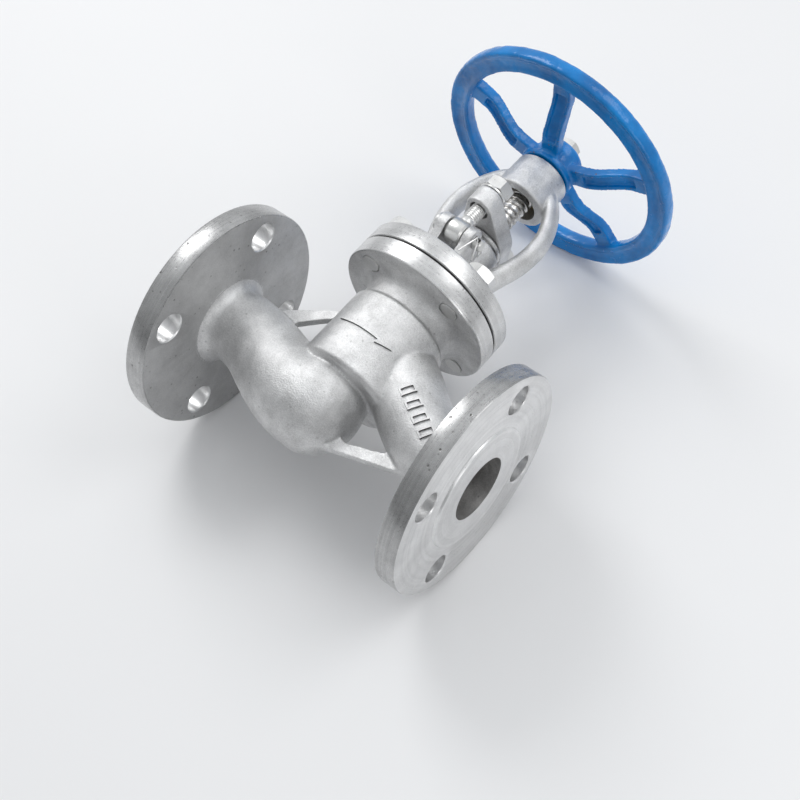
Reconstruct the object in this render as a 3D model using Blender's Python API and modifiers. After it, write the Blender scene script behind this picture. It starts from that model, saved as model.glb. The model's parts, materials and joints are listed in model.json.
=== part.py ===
"""Flanged globe valve with a rising handwheel, lying on its flanges and wheel.

Every piece is modelled in the valve's own frame, in millimetres: X runs along
the pipe from inlet to outlet, Z runs along the stem from the seat to the
handwheel, and both axes cross at the origin.  The empty "lying_pose" then lays
the valve down, so that two flange rims and the wheel rim touch the floor.
"""

import math

import bmesh
import bpy
from mathutils import Matrix, Vector

MM = 0.001
GAP = 0.3

# Pipe flanges
FACE_TO_FACE = 200.0
FLANGE_R = 70.0
FLANGE_THICK = 15.0
RAISED_FACE_R = 38.0
RAISED_FACE_H = 1.5
FLANGE_BOLT_CIRCLE_R = 55.0
FLANGE_HOLE_R = 9.0
PORT_R = 20.0
PIPE_R = 22.6
FLANGE_SIDES = 44
PIPE_ROUNDNESS = 5

# Body neck and bonnet joint
NECK_R = 32.3
NECK_Z0 = 3.0
NECK_STEP_Z = 53.7
COLLAR_R = 30.4
BONNET_FLANGE_R = 50.3
BODY_FLANGE_Z0 = 67.0
BODY_FLANGE_Z1 = 78.9
CHAMBER_R = 25.5
CHAMBER_Z0 = 11.0
GASKET_R1 = 33.0
GASKET_POCKET_Z = 77.4
NECK_SIDES = 32

# Seat and disc
SEAT_BORE_R = 19.0
SEAT_OUTER_R = 23.0
SEAT_Z0 = 6.0
SEAT_Z1 = 14.0
DISC_R = 22.0
DISC_TOP_Z = 30.0
LIFT = 12.0

# Bonnet
BONNET_Z0 = 79.9
BONNET_Z1 = 91.9
SPIGOT_Z0 = 73.0
BACKSEAT_BUSH_H = 7.0
STUFFING_BOX_R = 17.0
STUFFING_BOX_Z1 = 127.0
PACKING_POCKET_R = 12.5
PACKING_POCKET_Z0 = 98.0
YOKE_HUB_R = 18.5
YOKE_HUB_Z0 = 169.0
YOKE_HUB_Z1 = 194.6
YOKE_HUB_BORE_R = 13.0
YOKE_ARM_THICK = 10.6
YOKE_ARM_WIDTH = 17.0
YOKE_ARM_PATH = ((15.0, 88.0), (19.0, 102.0), (24.3, 118.0), (28.4, 130.0), (30.4, 143.0),
                 (29.4, 156.0), (25.0, 168.0), (18.6, 178.0), (10.0, 185.0))

# Bonnet bolts
BOLT_CIRCLE_R = 40.0
BOLT_R = 6.0
BOLT_HEAD_FLATS = 17.0
BOLT_HEAD_H = 7.0

# Stem
STEM_R = 7.9
THREAD_ROOT_R = 6.0
THREAD_PITCH = 4.0
THREAD_Z0 = 148.0
THREAD_TURNS = 11
THREAD_SIDES = 14
STEM_SQUARE = 9.0
STEM_END_R = 4.0
STEM_END_Z = 227.0
STEM_BUTTON_R = 11.0

# Gland
EYEBOLT_Y = 31.6
EYEBOLT_R = 4.8
EYE_R = 8.0
EYE_WIDTH = 11.0
EYE_Z = 112.0
EYE_PIN_R = 3.8
LUG_THICK = 6.0
LUG_R = 7.5
LUG_WEB = 14.0
LUG_TOE = 6.0
LUG_SIDE_GAP = 0.8
GLAND_FLANGE_Z0 = 131.7
GLAND_FLANGE_Z1 = 143.7
GLAND_FLANGE_MID_R = 15.5
GLAND_FLANGE_END_R = 9.2
GLAND_HOLE_R = 6.4
GLAND_NUT_FLATS = 16.0
GLAND_NUT_H = 8.2
WASHER_H = 1.6
PACKING_RINGS = 4
PACKING_RING_H = 4.4

# Stem nut
STEM_NUT_Z0 = 178.3
STEM_NUT_COLLAR_R = 15.6
STEM_NUT_COLLAR_H = 4.0

# Handwheel
WHEEL_R = 83.2
WHEEL_RIM_WIDTH = 14.4
WHEEL_RIM_Z = 212.1
WHEEL_RIM_HALF_H = 6.0
WHEEL_HUB_Z0 = 196.4
WHEEL_HUB_Z1 = 216.8
WHEEL_COLLAR_R = 18.3
WHEEL_HUB_R = 16.0
SPOKES = 5
SPOKE_WIDTH = 12.0
SPOKE_DEPTH = 7.2
SPOKE_HUB_Z = 201.0
SPOKE_RIM_Z = 210.5
SPOKE_BEND_R0 = 27.0
SPOKE_BEND_R1 = 59.0
FIRST_SPOKE_DEG = -88.5
WHEEL_SIDES = 48
WHEEL_NUT_FLATS = 13.0
WHEEL_NUT_H = 6.5

# The valve tips about its pipe until the wheel rim meets the floor.
LIE_ANGLE = (math.acos(FLANGE_R / math.hypot(WHEEL_R, WHEEL_RIM_Z))
             - math.atan2(WHEEL_RIM_Z, WHEEL_R))
LENGTH_AHEAD = STEM_END_Z * math.cos(LIE_ANGLE) + STEM_END_R * math.sin(LIE_ANGLE)
CENTRE_SHIFT = -(LENGTH_AHEAD - FLANGE_R) / 2

COLOURS = {
    "cast_steel": ((0.72, 0.73, 0.74), 0.45, 1.0),
    "machined_steel": ((0.78, 0.78, 0.78), 0.28, 1.0),
    "graphite": ((0.05, 0.05, 0.055), 0.7, 0.0),
    "brass": ((0.72, 0.52, 0.22), 0.35, 1.0),
    "blue_paint": ((0.01, 0.13, 0.48), 0.25, 0.0),
}


def clear_scene():
    """Remove every object, so that the model starts from nothing."""
    for item in list(bpy.data.objects):
        bpy.data.objects.remove(item, do_unlink=True)


def new_collection(name):
    """Make a collection under the scene's own."""
    collection = bpy.data.collections.new(name)
    bpy.context.scene.collection.children.link(collection)
    return collection


def new_material(name):
    """Make the plain Principled material that COLOURS describes."""
    colour, roughness, metallic = COLOURS[name]
    material = bpy.data.materials.new(name)
    material.use_nodes = True
    shader = material.node_tree.nodes["Principled BSDF"]
    shader.inputs["Base Color"].default_value = (*colour, 1.0)
    shader.inputs["Roughness"].default_value = roughness
    shader.inputs["Metallic"].default_value = metallic
    material.diffuse_color = (*colour, 1.0)
    return material


def ring_points(radius, count, centre=(0.0, 0.0), phase=0.0):
    """Give points evenly round a circle."""
    angles = [phase + 2 * math.pi * i / count for i in range(count)]
    return [(centre[0] + radius * math.cos(a), centre[1] + radius * math.sin(a)) for a in angles]


def arc_points(centre, radius, start_deg, end_deg, steps):
    """Give points along an arc, both ends included."""
    turn = [math.radians(start_deg + (end_deg - start_deg) * i / steps) for i in range(steps + 1)]
    return [(centre[0] + radius * math.cos(a), centre[1] + radius * math.sin(a)) for a in turn]


def hexagon(flats):
    """Give a hexagon's corners from its width across flats."""
    return ring_points(flats / math.sqrt(3), 6)


def smooth_path(points, steps):
    """Put a Catmull-Rom curve through points of any dimension."""
    ends = [points[0], *points, points[-1]]
    result = []
    for i in range(len(points) - 1):
        p0, p1, p2, p3 = (Vector(p) for p in ends[i:i + 4])
        for k in range(steps):
            t = k / steps
            result.append(0.5 * (2 * p1 + (p2 - p0) * t + (2 * p0 - 5 * p1 + 4 * p2 - p3) * t ** 2
                                 + (3 * p1 - p0 - 3 * p2 + p3) * t ** 3))
    return [*result, Vector(points[-1])]


class Shop:
    """Holds the collections and materials, and makes the basic shapes."""

    def __init__(self):
        self.pieces = new_collection("globe_valve")
        self.tools = new_collection("cutters")
        self.materials = {name: new_material(name) for name in COLOURS}

    def place(self, name, data, matrix=None):
        """Put data in the scene as a tool; keep() makes it a piece."""
        item = bpy.data.objects.new(name, data)
        item.matrix_world = matrix or Matrix.Identity(4)
        item.hide_render = True
        item.display_type = "WIRE"
        self.tools.objects.link(item)
        return item

    def turned(self, name, outline, sides, ring=False, matrix=None):
        """Turn an outline of (radius, height), which runs down its outer side."""
        mesh = bpy.data.meshes.new(name)
        points = [(r * MM, 0.0, z * MM) for r, z in outline]
        edges = [(i, i + 1) for i in range(len(points) - 1)]
        if ring:
            edges.append((len(points) - 1, 0))
        mesh.from_pydata(points, edges, [])
        item = self.place(name, mesh, matrix)
        screw = item.modifiers.new("turn", "SCREW")
        screw.steps = screw.render_steps = sides
        screw.use_merge_vertices = True
        screw.merge_threshold = 0.00002
        return self.as_mesh(item)

    def ring(self, name, inner, outer, low, high, sides=20, centre=(0.0, 0.0)):
        """Make a plain ring or, with no inner radius, a disc."""
        place = Matrix.Translation((centre[0] * MM, centre[1] * MM, 0.0))
        if inner:
            outline = [(inner, high), (outer, high), (outer, low), (inner, low)]
        else:
            outline = [(0.0, high), (outer, high), (outer, low), (0.0, low)]
        return self.turned(name, outline, sides, ring=bool(inner), matrix=place)

    def plate(self, name, outlines, low, high, matrix=None):
        """Extrude flat outlines; a loop inside another is a hole."""
        curve = bpy.data.curves.new(name, "CURVE")
        curve.dimensions = "2D"
        curve.fill_mode = "BOTH"
        curve.extrude = (high - low) / 2 * MM
        for outline in outlines:
            spline = curve.splines.new("POLY")
            spline.points.add(len(outline) - 1)
            for point, (x, y) in zip(spline.points, outline):
                point.co = (x * MM, y * MM, 0.0, 1.0)
            spline.use_cyclic_u = True
        lift = Matrix.Translation((0.0, 0.0, (low + high) / 2 * MM))
        return self.as_mesh(self.place(name, curve, (matrix or Matrix.Identity(4)) @ lift))

    def tube(self, name, stations, resolution, closed=False, flatten=1.0):
        """Sweep a round section along stations of (x, y, z, radius)."""
        curve = bpy.data.curves.new(name, "CURVE")
        curve.dimensions = "3D"
        curve.bevel_depth = MM
        curve.bevel_resolution = resolution
        curve.use_fill_caps = not closed
        spline = curve.splines.new("POLY")
        spline.points.add(len(stations) - 1)
        for point, (x, y, z, radius) in zip(spline.points, stations):
            point.co = (x * MM, y * MM, z * MM, 1.0)
            point.radius = radius
        spline.use_cyclic_u = closed
        return self.as_mesh(self.place(name, curve, Matrix.Scale(flatten, 4, (0.0, 1.0, 0.0))))

    def ball(self, name, centre, radii, sides=20, rows=12):
        """Make an ellipsoid."""
        mesh = bpy.data.meshes.new(name)
        shape = bmesh.new()
        bmesh.ops.create_uvsphere(shape, u_segments=sides, v_segments=rows, radius=MM)
        bmesh.ops.transform(shape, matrix=Matrix.Diagonal((*radii, 1.0)), verts=shape.verts)
        shape.to_mesh(mesh)
        shape.free()
        return self.place(name, mesh, Matrix.Translation(Vector(centre) * MM))

    def as_mesh(self, item):
        """Replace a curve or a modified object by its evaluated mesh."""
        bpy.context.view_layer.update()
        graph = bpy.context.evaluated_depsgraph_get()
        mesh = bpy.data.meshes.new_from_object(item.evaluated_get(graph))
        shape = bmesh.new()
        shape.from_mesh(mesh)
        shape.transform(item.matrix_world)
        bmesh.ops.remove_doubles(shape, verts=shape.verts, dist=0.000002)
        shape.to_mesh(mesh)
        shape.free()
        name = item.name
        bpy.data.objects.remove(item, do_unlink=True)
        return self.place(name, mesh)

    def combine(self, item, others, operation):
        """Join others to item, or cut them from it, one after the other."""
        for other in others:
            step = item.modifiers.new(other.name, "BOOLEAN")
            step.operation = operation
            step.object = other
            step.solver = "EXACT"
        return item

    def keep(self, item, name, material, origin=(0.0, 0.0, 0.0)):
        """Finish a piece: its modifiers, smooth shading, material and origin."""
        item = self.as_mesh(item)
        item.data.transform(Matrix.Translation(Vector(origin) * -MM))
        item.location = Vector(origin) * MM
        item.name = item.data.name = name
        item.data.shade_smooth()
        item.data.set_sharp_from_angle(angle=math.radians(32))
        item.data.materials.clear()
        item.data.materials.append(self.materials[material])
        item.hide_render = False
        item.display_type = "TEXTURED"
        self.tools.objects.unlink(item)
        self.pieces.objects.link(item)
        return item

    def copy(self, item, name, matrix):
        """Repeat a finished piece elsewhere, sharing its mesh."""
        bpy.context.view_layer.update()
        twin = bpy.data.objects.new(name, item.data)
        self.pieces.objects.link(twin)
        twin.matrix_world = matrix @ item.matrix_world
        return twin


HALF_TURN = Matrix.Rotation(math.pi, 4, "Z")
UPRIGHT_PLATE = Matrix.Rotation(math.pi / 2, 4, "X")


def facing_pipe(side):
    """Turn a shape's own Z axis outwards along the pipe, a corner pointing down."""
    return Matrix.Rotation(side * math.pi / 2, 4, "Y") @ Matrix.Rotation(-side * LIE_ANGLE, 4, "Z")


def flange_blank(shop, name, side):
    """Make one pipe flange with its raised face and the fillet to the pipe."""
    face = FACE_TO_FACE / 2
    disc_face = face - RAISED_FACE_H
    back = face - FLANGE_THICK
    fillet = 7.0
    edge = 1.0
    outline = [(0.0, face), (RAISED_FACE_R, face), (RAISED_FACE_R + 0.6, disc_face),
               (FLANGE_R - edge, disc_face), (FLANGE_R, disc_face - edge),
               (FLANGE_R, back + edge), (FLANGE_R - edge, back)]
    outline += [(PIPE_R + fillet - x, back - fillet + y)
                for x, y in arc_points((0.0, 0.0), fillet, 90, 0, 4)]
    outline += [(PIPE_R, back - 3 * fillet), (0.0, back - 3 * fillet)]
    return shop.turned(name, outline, FLANGE_SIDES, matrix=facing_pipe(side))


def flange_holes(shop, side):
    """Make the four bolt-hole cutters of one pipe flange."""
    across = FLANGE_BOLT_CIRCLE_R / math.sqrt(2)
    middle = side * (FACE_TO_FACE / 2 - FLANGE_THICK / 2)
    holes = []
    for y, z in ((across, across), (across, -across), (-across, across), (-across, -across)):
        stations = [(middle - FLANGE_THICK, y, z, FLANGE_HOLE_R),
                    (middle + FLANGE_THICK, y, z, FLANGE_HOLE_R)]
        holes.append(shop.tube("flange_hole_cutter", stations, 5))
    return holes


def bolt_holes(shop, low, high):
    """Make the bonnet's four bolt-hole cutters."""
    holes = []
    for x, y in ring_points(BOLT_CIRCLE_R, 4, phase=math.pi / 4):
        holes.append(shop.ring("bolt_hole_cutter", 0.0, BOLT_R + GAP, low, high, 20, (x, y)))
    return holes


INLET_PATH = ((-84.0, 0.0, 22.6), (-74.0, 0.0, 22.6), (-62.0, -1.6, 22.8), (-50.0, -5.0, 23.8),
              (-38.0, -9.5, 25.0), (-26.0, -12.5, 27.0), (-14.0, -13.5, 28.5), (-4.0, -13.0, 28.0))
OUTLET_PATH = ((6.0, 36.0, 21.0), (20.0, 31.0, 21.5), (32.0, 23.0, 22.0), (44.0, 14.0, 22.0),
               (58.0, 6.2, 22.2), (72.0, 1.4, 22.6), (84.0, 0.0, 22.6))
PORT_WALL = 3.6
BOWL_CENTRE = (-6.0, 0.0, -12.0)
BOWL_RADII = (27.5, 29.5, 30.5)
BOWL_WALL = 5.5
RIB_THICK = 5.5
UPPER_RIB = ((-68.0, 14.0), (-66.0, 21.5), (-63.5, 23.5), (-31.0, 46.0), (-28.0, 40.0),
             (-36.0, 35.0), (-50.5, 21.5), (-54.0, 14.0))
LOWER_RIB = ((-2.0, -30.0), (2.0, -36.0), (62.0, -18.5), (66.0, -12.0), (52.0, -6.0),
             (48.0, -11.5), (45.5, -15.0), (25.0, -22.5), (20.5, -21.5), (12.0, -18.0))


def passage(path, extra_end):
    """Give the stations of the hollow inside a pipe, carried out of its flange."""
    inner = [(x, z, r - PORT_WALL) for x, z, r in path]
    side = 1 if extra_end > 0 else -1
    mouth = [(side * (FACE_TO_FACE / 2 - FLANGE_THICK), 0.0, PORT_R), (extra_end, 0.0, PORT_R)]
    if side > 0:
        inner = [*inner[:-1], *mouth]
    else:
        inner = [*reversed(mouth), *inner[1:]]
    return inner


def stations_of(path, steps):
    """Smooth a pipe's (x, z, radius) points into tube stations."""
    return [(p[0], 0.0, p[1], p[2]) for p in smooth_path(path, steps)]


def valve_body(shop):
    """Cast body: S-shaped flow way, neck, ribs and three flanges."""
    fillet = 8.0
    outline = [(0.0, BODY_FLANGE_Z1), (BONNET_FLANGE_R, BODY_FLANGE_Z1),
               (BONNET_FLANGE_R, BODY_FLANGE_Z0 + 0.6), (BONNET_FLANGE_R - 0.6, BODY_FLANGE_Z0)]
    outline += [(COLLAR_R + fillet - x, BODY_FLANGE_Z0 - fillet + y)
                for x, y in arc_points((0.0, 0.0), fillet, 90, 0, 4)]
    outline += [(COLLAR_R, NECK_STEP_Z + 0.8), (NECK_R, NECK_STEP_Z - 0.8),
                (NECK_R, NECK_Z0 + 2.0), (NECK_R - 2.0, NECK_Z0), (0.0, NECK_Z0)]
    body = shop.turned("valve_body", outline, NECK_SIDES)
    joined = [
        shop.tube("inlet_pipe", stations_of(INLET_PATH, 2), PIPE_ROUNDNESS),
        shop.tube("outlet_pipe", stations_of(OUTLET_PATH, 2), PIPE_ROUNDNESS),
        shop.ball("bowl", BOWL_CENTRE, BOWL_RADII),
        flange_blank(shop, "inlet_flange", -1),
        flange_blank(shop, "outlet_flange", 1),
        shop.plate("upper_rib", [UPPER_RIB], -RIB_THICK / 2, RIB_THICK / 2, UPRIGHT_PLATE),
        shop.plate("lower_rib", [LOWER_RIB], -RIB_THICK / 2, RIB_THICK / 2, UPRIGHT_PLATE),
    ]
    shop.combine(body, joined, "UNION")
    chamber = [(0.0, 90.0), (GASKET_R1 + GAP, 90.0), (GASKET_R1 + GAP, GASKET_POCKET_Z),
               (CHAMBER_R, GASKET_POCKET_Z), (CHAMBER_R, CHAMBER_Z0),
               (SEAT_OUTER_R + GAP, CHAMBER_Z0), (SEAT_OUTER_R + GAP, SEAT_Z0 - GAP),
               (SEAT_BORE_R, SEAT_Z0 - GAP), (SEAT_BORE_R, NECK_Z0), (0.0, NECK_Z0)]
    hollow = tuple(radius - BOWL_WALL for radius in BOWL_RADII)
    end = FACE_TO_FACE / 2 + 4.0
    cut = [
        shop.tube("inlet_passage", stations_of(passage(INLET_PATH[:-1], -end), 1), PIPE_ROUNDNESS),
        shop.tube("outlet_passage", stations_of(passage(OUTLET_PATH, end), 1), PIPE_ROUNDNESS),
        shop.ball("bowl_hollow", BOWL_CENTRE, hollow),
        shop.turned("chamber_cutter", chamber, NECK_SIDES),
        *flange_holes(shop, -1),
        *flange_holes(shop, 1),
        *bolt_holes(shop, BODY_FLANGE_Z0 - 10.0, BODY_FLANGE_Z1 + 10.0),
    ]
    shop.combine(body, cut, "DIFFERENCE")
    return shop.keep(body, "valve_body", "cast_steel")


def seat_ring(shop):
    """Stainless seat, its bevelled mouth facing the disc."""
    outline = [(SEAT_BORE_R + 2.0, SEAT_Z1), (SEAT_OUTER_R, SEAT_Z1), (SEAT_OUTER_R, SEAT_Z0),
               (SEAT_BORE_R, SEAT_Z0), (SEAT_BORE_R, SEAT_Z1 - 2.0)]
    ring = shop.turned("seat_ring", outline, 24, ring=True)
    return shop.keep(ring, "seat_ring", "machined_steel")


def disc_and_nut(shop):
    """Cone-faced disc that hangs on the stem's button, and the nut that holds it."""
    pocket = STEM_BUTTON_R + 1.0
    cone_z = SEAT_Z1 - 2.0 + GAP
    outline = [(pocket + 2.0, DISC_TOP_Z), (DISC_R, DISC_TOP_Z), (DISC_R, SEAT_Z1 + 1.5),
               (SEAT_BORE_R + 2.0, SEAT_Z1 + GAP), (SEAT_BORE_R - 0.6, cone_z),
               (SEAT_BORE_R - 3.0, cone_z - 3.0), (0.0, cone_z - 3.0), (0.0, cone_z + 2.0),
               (pocket, cone_z + 2.0), (pocket, DISC_TOP_Z - 8.0), (pocket + 2.0, DISC_TOP_Z - 8.0)]
    disc = shop.turned("disc", outline, 24, ring=True)
    shop.keep(disc, "disc", "machined_steel")
    nut_r = pocket + 2.0 - GAP
    rings = [shop.ring("disc_nut", STEM_R + 0.5, nut_r, DISC_TOP_Z - 7.7, DISC_TOP_Z + 1.5)]
    return shop.keep(rings[0], "disc_nut", "machined_steel")


def stem(shop):
    """Stem: button, backseat cone, packing length, thread, square and end."""
    button_z = SEAT_Z1 + 1.0
    backseat_z = SPIGOT_Z0 - LIFT - 2.5
    square_z = YOKE_HUB_Z1 + 0.6
    shoulder_z = WHEEL_HUB_Z1 - 1.0
    outline = [(0.0, square_z), (THREAD_ROOT_R, square_z),
               (THREAD_ROOT_R, THREAD_Z0 + 3.1), (STEM_R, THREAD_Z0 + 0.55), (STEM_R, backseat_z + 2.5),
               (STEM_R + 2.5, backseat_z), (STEM_R + 2.5, backseat_z - 4.0),
               (STEM_R, backseat_z - 6.0), (STEM_R, DISC_TOP_Z - 8.3),
               (STEM_BUTTON_R, DISC_TOP_Z - 8.3), (STEM_BUTTON_R, button_z), (0.0, button_z)]
    shaft = shop.turned("stem", outline, 24)
    half = STEM_SQUARE / 2
    square = [(half, half), (-half, half), (-half, -half), (half, -half)]
    joined = [
        shop.plate("stem_square", [square], square_z - 2.0, shoulder_z),
        shop.ring("stem_end", 0.0, STEM_END_R, shoulder_z - 2.0, STEM_END_Z, 20),
        thread(shop),
    ]
    shop.combine(shaft, joined, "UNION")
    return shop.keep(shaft, "stem", "machined_steel")


def thread(shop):
    """Trapezoidal thread: a toothed outline that climbs one pitch as it turns."""
    root = THREAD_ROOT_R - 0.2
    crest = STEM_R - 0.15
    top = THREAD_TURNS * THREAD_PITCH
    outline = [(0.0, top), (root, top)]
    for turn in reversed(range(THREAD_TURNS)):
        low = turn * THREAD_PITCH
        outline += [(root, low + 2.9), (crest, low + 2.3), (crest, low + 0.9), (root, low + 0.3)]
    outline += [(root, 0.0), (0.0, 0.0)]
    mesh = bpy.data.meshes.new("stem_thread")
    points = [(r * MM, 0.0, (z + THREAD_Z0) * MM) for r, z in outline]
    mesh.from_pydata(points, [(i, i + 1) for i in range(len(points) - 1)], [])
    item = shop.place("stem_thread", mesh)
    screw = item.modifiers.new("climb", "SCREW")
    screw.steps = screw.render_steps = THREAD_SIDES
    screw.screw_offset = THREAD_PITCH * MM
    screw.use_merge_vertices = True
    screw.merge_threshold = 0.00002
    item = shop.as_mesh(item)
    shape = bmesh.new()
    shape.from_mesh(item.data)
    bmesh.ops.dissolve_degenerate(shape, dist=0.000002, edges=shape.edges)
    open_edges = [edge for edge in shape.edges if edge.is_boundary]
    bmesh.ops.holes_fill(shape, edges=open_edges, sides=0)
    bmesh.ops.recalc_face_normals(shape, faces=shape.faces)
    shape.to_mesh(item.data)
    shape.free()
    return item


def bonnet(shop):
    """Cast bonnet: flange, stuffing box, oval yoke, yoke hub and eyebolt lugs."""
    fillet = 4.0
    outline = [(0.0, STUFFING_BOX_Z1), (STUFFING_BOX_R - 1.0, STUFFING_BOX_Z1),
               (STUFFING_BOX_R, STUFFING_BOX_Z1 - 1.0)]
    outline += [(STUFFING_BOX_R + fillet - x, BONNET_Z1 + fillet - y)
                for x, y in arc_points((0.0, 0.0), fillet, 0, 90, 3)]
    outline += [(BONNET_FLANGE_R - 0.8, BONNET_Z1), (BONNET_FLANGE_R, BONNET_Z1 - 0.8),
                (BONNET_FLANGE_R, BONNET_Z0), (CHAMBER_R - GAP, BONNET_Z0),
                (CHAMBER_R - GAP, SPIGOT_Z0), (0.0, SPIGOT_Z0)]
    casting = shop.turned("bonnet", outline, NECK_SIDES)
    hub = [(0.0, YOKE_HUB_Z1), (YOKE_HUB_R - 0.8, YOKE_HUB_Z1), (YOKE_HUB_R, YOKE_HUB_Z1 - 0.8),
           (YOKE_HUB_R, YOKE_HUB_Z0 + 1.0), (YOKE_HUB_R - 1.0, YOKE_HUB_Z0), (0.0, YOKE_HUB_Z0)]
    joined = [shop.turned("yoke_hub", hub, 32)]
    flatten = YOKE_ARM_WIDTH / YOKE_ARM_THICK
    for side in (1, -1):
        path = smooth_path(YOKE_ARM_PATH, 2)
        stations = [(side * p[0], 0.0, p[1], YOKE_ARM_THICK / 2) for p in path]
        joined.append(shop.tube("yoke_arm", stations, 4, flatten=flatten))
    joined += lugs(shop)
    shop.combine(casting, joined, "UNION")
    bush_r = STEM_R + 4.0
    bores = [(0.0, 210.0), (STEM_NUT_COLLAR_R + GAP, 210.0),
             (STEM_NUT_COLLAR_R + GAP, YOKE_HUB_Z1 - STEM_NUT_COLLAR_H - 2 * GAP),
             (YOKE_HUB_BORE_R, YOKE_HUB_Z1 - STEM_NUT_COLLAR_H - 2 * GAP),
             (YOKE_HUB_BORE_R, 160.0), (PACKING_POCKET_R, 160.0),
             (PACKING_POCKET_R, PACKING_POCKET_Z0), (STEM_R + 0.6, PACKING_POCKET_Z0),
             (STEM_R + 0.6, SPIGOT_Z0 + BACKSEAT_BUSH_H), (bush_r, SPIGOT_Z0 + BACKSEAT_BUSH_H),
             (bush_r, 60.0), (0.0, 60.0)]
    set_screw_z = (STEM_NUT_Z0 + YOKE_HUB_Z1) / 2
    screw_hole = shop.tube("set_screw_hole", [(0.0, 0.0, set_screw_z, 2.8),
                                              (0.0, 30.0, set_screw_z, 2.8)], 4)
    cut = [
        shop.turned("bonnet_bores", bores, 32),
        *bolt_holes(shop, BONNET_Z0 - 5.0, BONNET_Z1 + 5.0),
        *[shop.tube("pin_hole", [(-20.0, y, EYE_Z, EYE_PIN_R + GAP),
                                 (20.0, y, EYE_Z, EYE_PIN_R + GAP)], 5)
          for y in (-EYEBOLT_Y, EYEBOLT_Y)],
        screw_hole,
    ]
    shop.combine(casting, cut, "DIFFERENCE")
    return shop.keep(casting, "bonnet", "cast_steel")


def lugs(shop):
    """Make the four ears that carry the eyebolts, each a round boss on a web."""
    ears = []
    root = EYEBOLT_Y - LUG_R
    head = arc_points((EYEBOLT_Y, EYE_Z), LUG_R, -55, 130, 12)
    toe = root + LUG_TOE
    half = [*head, (toe - 1.0 - LUG_WEB, EYE_Z + 2.0), (toe - 1.0 - LUG_WEB, BONNET_Z1 - 2.0),
            (toe - 1.0, BONNET_Z1 - 2.0), (toe, BONNET_Z1 + 4.0)]
    for outline in (half, [(-y, z) for y, z in reversed(half)]):
        for side in (-1, 1):
            inner = side * (EYE_WIDTH / 2 + LUG_SIDE_GAP)
            outer = inner + side * LUG_THICK
            turn = Matrix(((0, 0, 1, 0), (1, 0, 0, 0), (0, 1, 0, 0), (0, 0, 0, 1)))
            ears.append(shop.plate("lug", [outline], min(inner, outer), max(inner, outer), turn))
    return ears


def bonnet_joint(shop):
    """Gasket between the two flanges, and the four hexagon bolts."""
    gasket = shop.ring("bonnet_gasket", CHAMBER_R + 0.8, GASKET_R1, GASKET_POCKET_Z + GAP,
                       BONNET_Z0 - GAP)
    shop.keep(gasket, "bonnet_gasket", "graphite")
    head_z = BONNET_Z1 + GAP
    bolt = shop.plate("bolt", [hexagon(BOLT_HEAD_FLATS)], head_z, head_z + BOLT_HEAD_H)
    shank = shop.ring("bolt_shank", 0.0, BOLT_R, BODY_FLANGE_Z0, head_z + 1.0, 20)
    shop.combine(bolt, [shank], "UNION")
    spots = ring_points(BOLT_CIRCLE_R, 4, phase=-3 * math.pi / 4)
    first = shop.keep(bolt, "bonnet_bolt_1", "machined_steel")
    for number, (x, y) in enumerate(spots[1:], start=2):
        shop.copy(first, f"bonnet_bolt_{number}", Matrix.Translation((x * MM, y * MM, 0.0)))
    first.location = (spots[0][0] * MM, spots[0][1] * MM, 0.0)


def packing(shop):
    """Backseat bush, bottom washer, packing rings and the follower bush."""
    bush = shop.ring("backseat_bush", STEM_R + 0.4, STEM_R + 4.0 - GAP, SPIGOT_Z0 + GAP,
                     SPIGOT_Z0 + BACKSEAT_BUSH_H - GAP)
    shop.keep(bush, "backseat_bush", "machined_steel")
    outer = PACKING_POCKET_R - GAP
    floor = PACKING_POCKET_Z0 + GAP
    washer = shop.ring("packing_washer", STEM_R + 0.4, outer, floor, floor + 2.0)
    shop.keep(washer, "packing_washer", "machined_steel")
    low = floor + 2.0 + GAP
    for number in range(1, PACKING_RINGS + 1):
        ring = shop.ring("packing", STEM_R + GAP, outer, low, low + PACKING_RING_H)
        shop.keep(ring, f"packing_ring_{number}", "graphite")
        low += PACKING_RING_H + GAP
    lip_z = GLAND_FLANGE_Z0 - GAP
    outline = [(STEM_R + 0.4, lip_z), (STUFFING_BOX_R - 1.5, lip_z),
               (STUFFING_BOX_R - 1.5, STUFFING_BOX_Z1 + 1.6), (outer, STUFFING_BOX_Z1 + 1.6),
               (outer, low), (STEM_R + 0.4, low)]
    follower = shop.turned("gland_bush", outline, 24, ring=True)
    return shop.keep(follower, "gland_bush", "machined_steel")


def gland_flange(shop):
    """Oval plate that two nuts pull down on the follower bush."""
    reach = math.degrees(math.acos((GLAND_FLANGE_MID_R - GLAND_FLANGE_END_R) / EYEBOLT_Y))
    mid = arc_points((0.0, 0.0), GLAND_FLANGE_MID_R, reach - 90, 90 - reach, 6)
    end = arc_points((0.0, EYEBOLT_Y), GLAND_FLANGE_END_R, 90 - reach, 90 + reach, 10)
    half = [*mid, *end]
    outline = half + [(-x, -y) for x, y in half]
    holes = [ring_points(STEM_R + 1.1, 24)]
    for y in (-EYEBOLT_Y, EYEBOLT_Y):
        holes.append(ring_points(GLAND_HOLE_R, 20, (0.0, y)))
    plate = shop.plate("gland_flange", [outline, *holes], GLAND_FLANGE_Z0, GLAND_FLANGE_Z1)
    return shop.keep(plate, "gland_flange", "cast_steel")


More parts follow.
